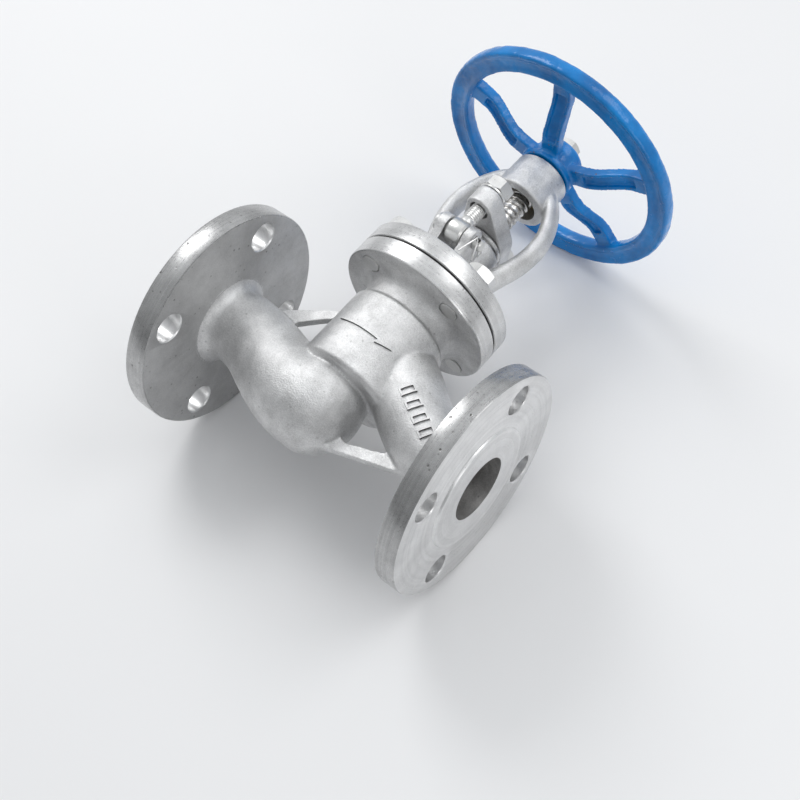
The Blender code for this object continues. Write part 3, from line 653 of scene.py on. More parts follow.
@dataclass(frozen=True)
class Paint:
    """Gloss paint brushed thickly over a casting, chipped where it knocks."""

    name: str
    light: Point
    dark: Point
    chip: Point
    roughness: float = 0.2

    def material(self) -> Material:
        """Build the paint's material."""
        nodes = Nodes(self.name)
        runs = nodes.noise(5.0, 3.0, 0.55)
        grain = nodes.noise(0.9, 2.0, 0.6)
        cloud = nodes.noise(22.0, 3.0, 0.5)
        colour = nodes.blend(nodes.ramp(cloud, 0.25, 0.75), (*self.dark, 1.0), (*self.light, 1.0))
        edge = nodes.add("ShaderNodeNewGeometry", out="Pointiness")
        patches = nodes.ramp(nodes.noise(2.2, 3.0, 0.7), 0.58, 0.64)
        knocked = nodes.times(nodes.ramp(edge, 0.53, 0.56), patches)
        speck = nodes.spots(7.0)
        flaw = nodes.times(nodes.ramp(speck, 0.1, 0.05), nodes.ramp(nodes.noise(13.0), 0.55, 0.6))
        bare = nodes.sum("MAXIMUM", knocked, flaw)
        colour = nodes.blend(bare, colour, (*self.chip, 1.0))
        height = nodes.plus(nodes.times(runs, 0.6), nodes.times(grain, 0.05))
        height = nodes.sum("SUBTRACT", height, nodes.times(bare, 0.12))
        rough = nodes.plus(nodes.ramp(runs, 0.3, 0.7, self.roughness - 0.05, self.roughness + 0.08),
                          nodes.times(bare, 0.4))
        return nodes.dress(colour, rough, nodes.relief(height, 1.0, 0.8),
                           Coat_Weight=0.2, Coat_Roughness=0.05, Specular_IOR_Level=0.4)


@dataclass(frozen=True)
class Graphite:
    """Pressed or braided graphite, dull and dark."""

    name: str
    colour: Point

    def material(self) -> Material:
        """Build the graphite's material."""
        nodes = Nodes(self.name)
        weave = nodes.noise(0.8, 3.0, 0.7)
        colour = nodes.blend(nodes.ramp(weave, 0.35, 0.65), (*self.colour, 1.0),
                             tuple(2.2 * value for value in self.colour) + (1.0,))
        rough = nodes.ramp(weave, 0.3, 0.7, 0.5, 0.75)
        return nodes.dress(colour, rough, nodes.relief(weave, 0.1), Metallic=0.2)


@dataclass(frozen=True)
class Floor:
    """Smooth pale board under the valve."""

    name: str
    colour: Point

    def material(self) -> Material:
        """Build the floor's material."""
        nodes = Nodes(self.name)
        cloud = nodes.noise(260.0, 2.0)
        grain = nodes.noise(0.6, 2.0)
        colour = nodes.blend(nodes.ramp(cloud, 0.3, 0.7), tuple(0.985 * v for v in self.colour) + (1.0,),
                             (*self.colour, 1.0))
        rough = nodes.ramp(grain, 0.3, 0.7, 0.5, 0.6)
        return nodes.dress(colour, rough, nodes.relief(grain, 0.02, 0.3))


class Finishes:
    """Every finish on the valve, each built once."""

    def __init__(self) -> None:
        """Build the materials."""
        make = {
            # The cast finish also paints shade into its concave hollows.
            "cast": Metal("blasted_stainless", (0.84, 0.84, 0.84), (0.54, 0.54, 0.54), 0.46, 0.8, 0.36, 0.3,
                          0.15, crevice_shade=0.85),
            # Painted shade: a near-black finish for the side walls of the raised arrow and frames, standing
            # in for the shade along their edges.
            "crease": Metal("painted_shade_outline", (0.22, 0.22, 0.22), (0.10, 0.10, 0.10), 0.6, 0.6, 0.1, 0.1),
            "matte": Metal("matte_casting", (0.60, 0.60, 0.60), (0.47, 0.47, 0.47), 0.5, 0.7, 0.1, 0.12, 0.3),
            "rim": Metal("turned_rim", (0.60, 0.60, 0.60), (0.32, 0.32, 0.32), 0.3, 0.3, 0.02, 0.02, 0.7,
                         Turning.PIPE, 0.03),
            "face": Metal("faced_stainless", (0.86, 0.86, 0.86), (0.62, 0.62, 0.62), 0.36, 0.3, 0.01, 0.01,
                          0.05, Turning.PIPE, 0.025),
            "bore": Metal("rough_bore", (0.58, 0.57, 0.56), (0.34, 0.335, 0.33), 0.55, 0.8, 0.12, 0.4, 0.6),
            "joint": Metal("turned_joint", (0.80, 0.80, 0.80), (0.52, 0.52, 0.52), 0.32, 0.3, 0.015, 0.02,
                           0.15, Turning.STEM, 0.03),
            "bolt": Metal("bright_bolt", (0.84, 0.84, 0.83), (0.66, 0.66, 0.65), 0.33, 0.5, 0.02, 0.02, 0.0),
            "stem": Metal("turned_stem", (0.80, 0.79, 0.77), (0.50, 0.49, 0.48), 0.22, 0.3, 0.01, 0.02,
                          0.1, Turning.STEM, 0.03),
            "wire": Metal("drawn_wire", (0.80, 0.80, 0.79), (0.62, 0.62, 0.61), 0.3, 0.3, 0.02, 0.02, 0.0),
            "brass": Metal("aged_brass", (0.46, 0.36, 0.20), (0.20, 0.15, 0.08), 0.38, 0.3, 0.01, 0.02,
                           0.1, Turning.STEM, 0.03),
            "paint": Paint("blue_gloss", (0.0, 0.27, 0.74), (0.0, 0.12, 0.38), (0.10, 0.06, 0.04)),
            "graphite": Graphite("pressed_graphite", (0.02, 0.02, 0.022)),
            "floor": Floor("pale_board", (0.86, 0.86, 0.865)),
        }
        self.made = {key: finish.material() for key, finish in make.items()}

    def __getitem__(self, key: str) -> Material:
        """Give the material of a finish."""
        return self.made[key]


def facing_pipe(side: int) -> Matrix:
    """Turn a shape's own Z axis outwards along the pipe."""
    return Matrix.Rotation(side * math.pi / 2, 4, "Y")


def along_eye_pin(way: int) -> Matrix:
    """Put a shape's own Z axis along the front (-1) or back (1) eyebolt's pin."""
    return Matrix.Translation((0.0, way * EYE_Y, EYE_Z)) @ facing_pipe(1)


def along_set_screw() -> Matrix:
    """Put a shape's own Z axis along the stem nut's set screw."""
    return Matrix.Translation((0.0, 0.0, SET_SCREW_Z)) @ Matrix.Rotation(-math.pi / 2, 4, "X")


@dataclass
class ValveBody:
    """Cast body: S-shaped flow way, neck, ribs and three flanges."""

    finishes: Finishes
    face: float = 100.0
    flange_r: float = 70.0
    flange_back: float = 85.0
    raised_r: float = 38.0
    hole_circle_r: float = 55.0
    hole_r: float = 9.0
    neck_r: float = 32.3
    collar_r: float = 30.4
    joint_r: float = JOINT_FLANGE_R
    joint_z: Point = (67.0, 78.9)
    bowl: Point = (-6.0, 0.0, -12.0)
    bowl_radii: Point = (27.5, 29.5, 30.5)
    wall: float = 3.6
    inlet: Sequence[Point] = ((-92.0, 0.0, 22.6), (-74.0, 0.0, 22.6), (-62.0, -1.6, 22.8),
                              (-50.0, -5.0, 23.8), (-38.0, -9.5, 25.0), (-26.0, -12.5, 27.0),
                              (-14.0, -13.5, 28.5), (-4.0, -13.0, 28.0))
    outlet: Sequence[Point] = ((6.0, 36.0, 21.0), (20.0, 31.0, 21.5), (32.0, 23.0, 22.0),
                               (44.0, 14.0, 22.0), (58.0, 6.2, 22.2), (72.0, 1.4, 22.6),
                               (92.0, 0.0, 22.6))
    upper_rib: Sequence[Point] = ((-68.0, 14.0), (-66.0, 21.5), (-63.5, 23.5), (-31.0, 46.0),
                                  (-28.0, 40.0), (-36.0, 35.0), (-50.5, 21.5), (-54.0, 14.0))
    lower_rib: Sequence[Point] = ((-2.0, -30.0), (2.0, -36.0), (62.0, -18.5), (66.0, -12.0),
                                  (52.0, -6.0), (48.0, -11.5), (45.5, -15.0), (25.0, -22.5),
                                  (20.5, -21.5), (12.0, -18.0))
    rib_half: float = 2.75

    def skin(self) -> Solid:
        """Melt the pipes, bowl, neck and ribs into one cast skin."""
        low, fillet = self.joint_z[0], 8.0
        neck = [(0.0, low + 5.0), (self.collar_r + fillet, low + 5.0)]
        neck += [(self.collar_r + fillet - x, low - fillet + y)
                 for x, y in arc((0.0, 0.0), fillet, 90, 0, 8)]
        neck += [(self.collar_r, 54.4), (self.neck_r, 53.0), (self.neck_r, 5.0),
                 (self.neck_r - 2.0, 3.0), (0.0, 3.0)]
        parts = [Bench.turned(neck),
                 Bench.lofted(smoothed(self.inlet, 3), 64),
                 Bench.lofted(smoothed(self.outlet, 3), 64),
                 Bench.ball(self.bowl, self.bowl_radii)]
        upright = Matrix.Rotation(math.pi / 2, 4, "X")
        for outline in (self.upper_rib, self.lower_rib):
            parts.append(Bench.plate(outline, -self.rib_half, self.rib_half, upright))
        for side in (-1, 1):
            root = [(0.0, self.flange_back + 6.0), (29.6, self.flange_back + 6.0)]
            root += [(29.6 - x, self.flange_back - 7.0 + y) for x, y in arc((0.0, 0.0), 7.0, 90, 0, 8)]
            root += [(22.6, 70.0), (0.0, 70.0)]
            parts.append(Bench.turned(root, matrix=facing_pipe(side)))
        skin = Bench.cast(parts, 0.9, 3)
        return Bench.roughen(skin, 0.35, 9.0)

    def raised_marks(self, skin: Solid) -> Solid:
        """Raise the flow arrow on the neck and four plain frames on the outlet pipe.

        Args:
            skin: The cast skin that the marks stand on.

        Returns:
            The marks, rooted below the skin.
        """
        forward = Matrix(((1, 0, 0, 0), (0, 0, -1, 0), (0, 1, 0, 0), (0, 0, 0, 1)))
        arrow = [(-18.4, 27.9), (9.5, 27.7), (9.0, 25.2), (18.6, 28.2), (9.6, 31.6), (9.8, 29.3),
                 (-18.4, 29.2)]
        marks = [Bench.plate(arrow, 24.0, 36.0, forward)]
        along = math.radians(-31.0)
        for number in range(4):
            middle = Matrix.Translation((39.4 + 8.2 * number, 0.0, 16.4 - 4.93 * number))
            spot = middle @ Matrix.Rotation(-along, 4, "Y") @ forward
            frames = [[(-x, -y), (x - 0.4, -y), (x, y), (0.4 - x, y)] for x, y in ((2.9, 4.7), (1.8, 3.6))]
            outer, inner = (Bench.plate(frame, 17.0 - grow, 27.0 + grow, spot)
                            for frame, grow in zip(frames, (0.0, 2.0)))
            marks.append(Bench.mix(outer, [inner], Mixing.CARVE))
        Bench.pick(*marks)
        bpy.ops.object.join()
        swollen = Bench.twin(skin, "swollen_skin", Matrix.Identity(4))
        Bench.modify(swollen, "DISPLACE", strength=1.1 * MM, mid_level=0.0)
        return Bench.mix(marks[0], [swollen], Mixing.COMMON)

    def flanges(self) -> list[Solid]:
        """Turn the two pipe flanges and the bonnet-joint flange."""
        front = self.face - 1.5
        rim = self.flange_r
        outline = [(0.0, self.face), (self.raised_r - 0.2, self.face), (self.raised_r, self.face - 0.2),
                   (self.raised_r + 0.5, front + 0.2), (self.raised_r + 1.0, front), (rim - 1.0, front),
                   (rim - 0.3, front - 0.3), (rim, front - 1.0), (rim, self.flange_back + 1.0),
                   (rim - 0.3, self.flange_back + 0.3), (rim - 1.0, self.flange_back),
                   (0.0, self.flange_back)]
        low, high = self.joint_z
        edge = self.joint_r
        joint = [(0.0, high), (edge - 0.5, high), (edge, high - 0.5), (edge, low + 1.2),
                 (edge - 0.4, low + 0.4), (edge - 1.2, low), (0.0, low)]
        return [*(Bench.turned(outline, 160, facing_pipe(side)) for side in (-1, 1)),
                Bench.turned(joint, 128)]

    def hollow(self) -> list[Solid]:
        """Shape the flow way, the chamber and every bolt hole, to be carved out."""
        end = self.face + 4.0
        bores = []
        for path, side in ((self.inlet, -1), (self.outlet, 1)):
            inner = [(x, z, r - self.wall) for x, z, r in path if abs(x) < 80.0]
            mouth = [(side * self.flange_back, 0.0, 20.0), (side * end, 0.0, 20.0)]
            inner = [*reversed(mouth), *inner[:-1]] if side < 0 else [*inner, *mouth]
            bores.append(Bench.lofted(smoothed(inner, 2), 64))
        chamber = [(0.0, 90.0), (33.3, 90.0), (33.3, 77.4), (25.5, 77.4), (25.5, 11.0), (23.3, 11.0),
                   (23.3, 5.7), (19.0, 5.7), (19.0, 3.0), (0.0, 3.0)]
        tools = [*bores, Bench.ball(self.bowl, [r - 5.5 for r in self.bowl_radii]), Bench.turned(chamber, 64)]
        across = self.hole_circle_r / math.sqrt(2)
        half = (self.face - 1.5 - self.flange_back) / 2
        drill = [(0.0, half + 3.0), (self.hole_r + 3.6, half + 3.0), (self.hole_r, half - 0.6),
                 (self.hole_r, 0.6 - half), (self.hole_r + 3.6, -half - 3.0), (0.0, -half - 3.0)]
        for side in (-1, 1):
            for y, z in ((across, across), (across, -across), (-across, across), (-across, -across)):
                spot = Matrix.Translation((side * (self.flange_back + half), y, z)) @ facing_pipe(side)
                tools.append(Bench.turned(drill, 48, spot))
        for x, y in ring_spots(BONNET_BOLT_CIRCLE_R, 4, 45.0):
            tools.append(Bench.cylinder(6.2, 65.9, 95.0, matrix=Matrix.Translation((x, y, 0.0))))
        return tools

    def finish_of(self, at: Vector, normal: Vector) -> str:
        """Choose the finish of the face at this place, including painted shade on the raised marks' side
        walls.
        """
        from_pipe = math.hypot(at.y, at.z)
        inward = at.y * normal.y + at.z * normal.z < 0.0
        if abs(at.x) > self.flange_back - 0.3:
            if abs(at.x) > self.face - 2.6 and abs(normal.x) > 0.9:
                return "face"
            if from_pipe > self.flange_r - 1.2:
                return "rim"
            if abs(normal.x) > 0.9:
                return "matte"
            return "bore" if inward and from_pipe < 21.0 else "face"
        if inward and from_pipe < 20.8 and abs(at.x) > 62.0:
            return "bore"
        if at.z > self.joint_z[0] - 0.5 and math.hypot(at.x, at.y) > self.joint_r - 0.9:
            return "joint"
        # Side walls of the raised arrow and frames get the painted-shade finish, so that their outlines read
        # dark.
        arrow_shaded_wall = abs(at.x) < 19.2 and 24.6 < at.z < 32.2 and at.y < -25.0 and abs(normal.z) > 0.5
        frame_shaded_wall = 33.0 < at.x < 72.0 and at.y < -19.5 and at.z < 25.0 and normal.y > -0.5
        return "crease" if arrow_shaded_wall or frame_shaded_wall else "cast"

    def build(self) -> None:
        """Make the body and dress the pieces inside it."""
        skin = self.skin()
        body = Bench.mix(skin, [self.raised_marks(skin), *self.flanges()], Mixing.WELD)
        Bench.mix(body, self.hollow(), Mixing.CARVE)
        Bench.tint(body, self.finishes, "cast", "face", "rim", "matte", "bore", "joint", "crease",
                   rule=self.finish_of)
        Bench.finish(body, "body_casting", "valve_body", "cast_stainless", ["valve_body"])
        dress_nodes(self.finishes, {"seat_ring": "face", "bonnet_gasket": "graphite", "disc": "bolt",
                                    "disc_nut": "bolt"})


def dress_nodes(finishes: Finishes, choice: dict) -> None:
    """Give CAD nodes that stay in view their finishes, by name."""
    for node, key in choice.items():
        frame["nodes"][node].data.materials.clear()
        frame["nodes"][node].data.materials.append(finishes[key])


@dataclass
class Bonnet:
    """Cast bonnet with its yoke, lugs and bolts."""

    finishes: Finishes
    flange_r: float = JOINT_FLANGE_R
    flange_z: Point = (79.9, 91.9)
    box_r: float = 17.0
    box_top: float = 127.0
    hub_r: float = 18.5
    hub_z: Point = (169.0, 194.6)
    arm: Sequence[Point] = ((15.0, 88.0), (19.0, 102.0), (24.3, 118.0), (28.4, 130.0), (30.4, 143.0),
                            (29.4, 156.0), (25.0, 168.0), (18.6, 178.0), (10.0, 185.0))
    arm_half: float = 5.3
    arm_oval: float = 1.6
    lug_r: float = 7.5

    def lugs(self) -> list[Solid]:
        """Shape the four ears that hold the eyebolts."""
        upright = Matrix(((0, 0, 1, 0), (1, 0, 0, 0), (0, 1, 0, 0), (0, 0, 0, 1)))
        ears = []
        for way in (-1, 1):
            top = [(way * (EYE_Y + x), EYE_Z + z)
                   for x, z in arc((0.0, 0.0), self.lug_r, -55, 130, 20)]
            inner = EYE_Y - self.lug_r
            outline = [*top, (way * (inner - 9.0), EYE_Z + 2.0),
                       (way * (inner - 9.0), self.flange_z[1] - 4.0),
                       (way * (inner + 5.0), self.flange_z[1] - 4.0),
                       (way * (inner + 6.0), self.flange_z[1] + 4.0)]
            for side in (-1, 1):
                near, far = sorted((side * 6.3, side * 12.3))
                ears.append(Bench.plate(outline, near, far, upright))
        return ears

    def skin(self) -> Solid:
        """Melt the stuffing box, arms, hub and lugs into one cast skin."""
        low = self.flange_z[1]
        box = [(0.0, self.box_top), (self.box_r - 1.0, self.box_top), (self.box_r, self.box_top - 1.0)]
        box += [(self.box_r + 4.0 - x, low + 4.0 - y) for x, y in arc((0.0, 0.0), 4.0, 0, 90, 6)]
        box += [(self.box_r + 4.0, low - 4.0), (0.0, low - 4.0)]
        foot, head = self.hub_z
        hub = [(0.0, head - 1.0), (self.hub_r, head - 1.0), (self.hub_r, foot + 1.0),
               (self.hub_r - 1.0, foot), (0.0, foot)]
        parts = [Bench.turned(box, 64), Bench.turned(hub, 64)]
        path = smoothed([(x, z, self.arm_half) for x, z in self.arm], 4)
        parts += [Bench.lofted(path, 32, self.arm_oval, side) for side in (-1, 1)]
        skin = Bench.cast([*parts, *self.lugs()], 0.7, 5)
        return Bench.roughen(skin, 0.3, 5.0)

    def build(self) -> None:
        """Make the bonnet, its bolts and the bush at its foot."""
        low, high = self.flange_z
        edge = self.flange_r
        flange = [(0.0, high), (edge - 1.2, high), (edge - 0.4, high - 0.4), (edge, high - 1.2),
                  (edge, low + 0.5), (edge - 0.5, low), (25.2, low), (25.2, 73.3), (24.9, 73.0), (0.0, 73.0)]
        top = [(0.0, self.hub_z[1]), (17.7, self.hub_z[1]), (18.4, self.hub_z[1] - 0.7),
               (18.4, self.hub_z[1] - 4.0), (0.0, self.hub_z[1] - 4.0)]
        bonnet = Bench.mix(self.skin(), [Bench.turned(flange, 128), Bench.turned(top, 96)], Mixing.WELD)
        bores = [(0.0, 210.0), (15.9, 210.0), (15.9, 190.0), (13.0, 190.0), (13.0, 160.0), (12.5, 160.0),
                 (12.5, 98.0), (8.5, 98.0), (8.5, 80.0), (11.9, 80.0), (11.9, 60.0), (0.0, 60.0)]
        tools = [Bench.turned(bores, 64)]
        for x, y in ring_spots(BONNET_BOLT_CIRCLE_R, 4, 45.0):
            tools.append(Bench.cylinder(6.5, 70.0, 100.0, matrix=Matrix.Translation((x, y, 0.0))))
        for way in (-1, 1):
            tools.append(Bench.cylinder(EYE_PIN_BORE_R, -20.0, 20.0, matrix=along_eye_pin(way)))
        tools.append(Bench.cylinder(2.8, 0.0, 30.0, 32, along_set_screw()))
        Bench.mix(bonnet, tools, Mixing.CARVE)
        Bench.tint(bonnet, self.finishes, "cast", "joint", rule=self.finish_of)
        Bench.finish(bonnet, "bonnet_casting", "valve_body", "cast_stainless", ["bonnet"])
        self.bolts()
        dress_nodes(self.finishes, {"backseat_bush": "bolt", "packing_washer": "face"})

    def finish_of(self, at: Vector, normal: Vector) -> str:
        """Choose cast or turned for the face at this place."""
        out = math.hypot(at.x, at.y)
        rim = out > self.flange_r - 0.9 and at.z < self.flange_z[1]
        hub_top = at.z > self.hub_z[1] - 0.4
        return "joint" if rim or hub_top or at.z < self.flange_z[0] + 0.3 else "cast"

    def bolts(self) -> None:
        """Make one chamfered hexagon bolt and copy it round."""
        head = self.flange_z[1] + 0.3
        bolt = hexagon_blank(17.0, head, head + 7.0, True)
        shank = [(0.0, head + 1.0), (5.9, head + 1.0), (5.9, 66.7), (5.4, 66.2), (0.0, 66.2)]
        Bench.mix(bolt, [Bench.turned(shank, 40)], Mixing.WELD)
        Bench.tint(bolt, self.finishes, "bolt")
        for number, (x, y) in enumerate(ring_spots(BONNET_BOLT_CIRCLE_R, 4, 225.0), start=1):
            turn = Matrix.Rotation(math.radians((10.0, 34.0, 52.0, 21.0)[number - 1]), 4, "Z")
            copy = Bench.twin(bolt, f"bonnet_bolt_{number}", Matrix.Translation((x, y, 0.0)) @ turn)
            Bench.finish(copy, f"hexagon_bolt_{number}", "valve_body", "fastener_steel",
                         [f"bonnet_bolt_{number}"], 25.0)
        bpy.data.objects.remove(bolt, do_unlink=True)


def hexagon_blank(flats: float, low: float, high: float, one_side: bool = False) -> Solid:
    """Turn the corners off a hexagon bar, as on a nut or a bolt head.

    Args:
        flats: Width across the flats.
        low: Height of the lower face.
        high: Height of the upper face.
        one_side: Whether only the upper corners are turned off.

    Returns:
        The blank.
    """
    corner_r = flats / math.sqrt(3)
    bar = Bench.plate(ring_spots(corner_r, 6, 0.0), low, high)
    flat_r, drop = flats / 2 - 0.2, (corner_r - flats / 2 + 0.6) * math.tan(math.radians(30))
    outline = [(0.0, high), (flat_r, high), (corner_r + 0.4, high - drop)]
    outline += [(corner_r + 0.4, low), (0.0, low)] if one_side else [
        (corner_r + 0.4, low + drop), (flat_r, low), (0.0, low)]
    return Bench.mix(bar, [Bench.turned(outline, 72)], Mixing.COMMON)


def washer_blank(inner: float, outer: float, low: float, matrix: Optional[Matrix] = None) -> Solid:
    """Turn a plain washer with broken edges.

    Args:
        inner: Radius of its hole.
        outer: Its outer radius.
        low: Height of its lower face.
        matrix: Where the washer goes, in millimetres.

    Returns:
        The washer.
    """
    thick = 1.6
    outline = [(inner, low + 0.2), (inner + 0.2, low), (outer - 0.3, low), (outer, low + 0.3),
               (outer, low + thick - 0.3), (outer - 0.3, low + thick), (inner + 0.2, low + thick),
               (inner, low + thick - 0.2)]
    return Bench.turned(outline, 48, matrix, ring=True)


@dataclass
class Gland:
    """Gland lobe on two eyebolts, with their pins, washers and nuts."""

    finishes: Finishes
    lobe_z: Point = (131.7, 143.7)
    mid_r: float = 15.5
    end_r: float = 9.2
    nut_flats: float = 16.0
    nut_h: float = 8.2

    def lobe(self) -> None:
        """Shape the oval lobe with its rounded edges and three holes."""
        reach = math.degrees(math.acos((self.mid_r - self.end_r) / EYE_Y))
        half = [*arc((0.0, 0.0), self.mid_r, reach - 90, 90 - reach, 10),
                *arc((0.0, EYE_Y), self.end_r, 90 - reach, 90 + reach, 18)]
        outline = half + [(-x, -y) for x, y in half]
        lobe = Bench.cast([Bench.plate(outline, *self.lobe_z)], 0.6, 4)
        Bench.roughen(lobe, 0.25, 4.0)
        tools = [Bench.turned([(0.0, 150.0), (13.0, 150.0), (9.1, 142.9), (9.1, 132.0), (9.9, 131.0),
                               (0.0, 131.0)], 64)]
        for way in (-1, 1):
            spot = Matrix.Translation((0.0, way * EYE_Y, 0.0))
            tools.append(Bench.cylinder(6.3, 120.0, 150.0, matrix=spot))
        Bench.mix(lobe, tools, Mixing.CARVE)
        Bench.tint(lobe, self.finishes, "cast")
        Bench.finish(lobe, "gland_lobe", "gland", "gland_stainless", ["gland_flange"], 40.0)

    def follower(self) -> None:
        """Turn the bush under the lobe."""
        outline = [(8.3, 131.4), (14.9, 131.4), (15.5, 130.8), (15.5, 129.2), (14.9, 128.6), (12.2, 128.6),
                   (12.2, 118.3), (8.3, 118.3)]
        bush = Bench.turned(outline, 72, ring=True)
        Bench.tint(bush, self.finishes, "joint")
        Bench.finish(bush, "follower_bush", "gland", "trim_steel", ["gland_bush"])

    def eyebolt(self) -> Solid:
        """Forge one eyebolt: a ball-like eye and a threaded shank."""
        y, z = EYE_Y, EYE_Z
        top = self.lobe_z[1] + 1.6 + 0.6 + self.nut_h + 1.0
        eye = [(0.0, 5.5), (6.4, 5.5), (7.6, 4.2), (8.0, 2.6), (8.0, -2.6), (7.6, -4.2), (6.4, -5.5),
               (0.0, -5.5)]
        bolt = Bench.turned(eye, 56, along_eye_pin(-1))
        shank = [(0.0, top), (4.0, top), (4.7, top - 0.8)]
        shank += cut_thread(4.7, 4.1, top - 0.8, z + 12.0, 1.5, 0.35, 0.4)
        shank += [(4.7, z + 10.5), (4.3, z + 9.8), (4.75, z + 8.0), (4.75, z), (0.0, z)]
        turned = Bench.turned(shank, 40, Matrix.Translation((0.0, -y, 0.0)))
        hole = Bench.cylinder(EYE_PIN_BORE_R, -20.0, 20.0, matrix=along_eye_pin(-1))
        Bench.mix(bolt, [turned], Mixing.WELD)
        return Bench.mix(bolt, [hole], Mixing.CARVE)

    def pin(self) -> Solid:
        """Turn the headed pin through the eye, drilled for its split pin."""
        outline = [(0.0, 17.8), (3.0, 17.8), (3.7, 17.1), (3.7, -12.6), (5.3, -12.6), (5.4, -13.0),
                   (5.4, -14.4), (4.6, -15.0), (0.0, -15.1)]
        pin = Bench.turned(outline, 40, along_eye_pin(-1))
        cross = Matrix.Translation((15.2, -EYE_Y, EYE_Z)) @ Matrix.Rotation(math.pi / 2, 4, "X")
        return Bench.mix(pin, [Bench.cylinder(1.55, -12.0, 12.0, 24, cross)], Mixing.CARVE)

    def split_pin(self) -> Solid:
        """Bend one wire: a loop behind the pin and two splayed legs in front."""
        x, y, z, lead, side = 15.2, -EYE_Y, EYE_Z, 5.2, 0.68
        loop = [(x, y + lead + 3.2 + 2.2 * math.sin(math.radians(a)), z + 2.2 * math.cos(math.radians(a)))
                for a in range(40, 141, 20)]
        points = [(x - 2.4, y - lead - 4.2, z - 15.5), (x - 1.0, y - lead - 3.9, z - 9.0),
                  (x, y - lead - 2.8, z - 3.0), (x, y - lead - 1.2, z + side - 0.1), (x, y, z + side),
                  (x, y + lead, z + side), *loop, (x, y + lead, z - side), (x, y, z - side),
                  (x + 0.1, y - lead, z - side), (x + 0.9, y - lead, z - 2.6),
                  (x + 2.0, y - lead + 4.0, z - 7.0), (x + 2.4, y + 2.6, z - 10.5)]
        return Bench.round_rod(smoothed(points, 3), 0.5)

    def washer(self) -> Solid:
        """Turn one washer."""
        low = self.lobe_z[1] + 0.3
        return washer_blank(5.1, 9.0, low, Matrix.Translation((0.0, -EYE_Y, 0.0)))

    def nut(self) -> Solid:
        """Cut one nut, chamfered at both ends."""
        low = self.lobe_z[1] + 2.2
        nut = hexagon_blank(self.nut_flats, low, low + self.nut_h)
        bore = [(0.0, low + 12.0), (9.0, low + 12.0), (5.1, low + self.nut_h - 0.7), (5.1, low + 0.7),
                (7.8, low - 2.0), (0.0, low - 2.0)]
        Bench.mix(nut, [Bench.turned(bore, 40)], Mixing.CARVE)
        return Bench.placed(nut, Matrix.Translation((0.0, -EYE_Y, 0.0)))

    def build(self) -> None:
        """Make the gland and copy its front fixings to the back."""
        self.lobe()
        self.follower()
        for make, name, node, slot, finish, body in (
                (self.eyebolt, "swing_bolt", "eyebolt", "fastener_steel", "bolt", "valve_body"),
                (self.pin, "hinge_pin", "eyebolt_pin", "fastener_steel", "bolt", "valve_body"),
                (self.split_pin, "split_wire", "split_pin", "pin_wire", "wire", "valve_body"),
                (self.washer, "plain_washer", "gland_washer", "fastener_steel", "bolt", "gland"),
                (self.nut, "hexagon_nut", "gland_nut", "fastener_steel", "bolt", "gland_nut")):
            front = make()
            Bench.tint(front, self.finishes, finish)
            back = Bench.twin(front, f"{name}_back", Matrix.Rotation(math.pi, 4, "Z"))
            for piece, end in ((front, "front"), (back, "back")):
                rider = f"{body}_{end}" if body == "gland_nut" else body
                Bench.finish(piece, f"{name}_{end}", rider, slot, [f"{node}_{end}"], 25.0)
        dress_nodes(self.finishes, {f"packing_ring_{n}": "graphite" for n in range(1, 5)})


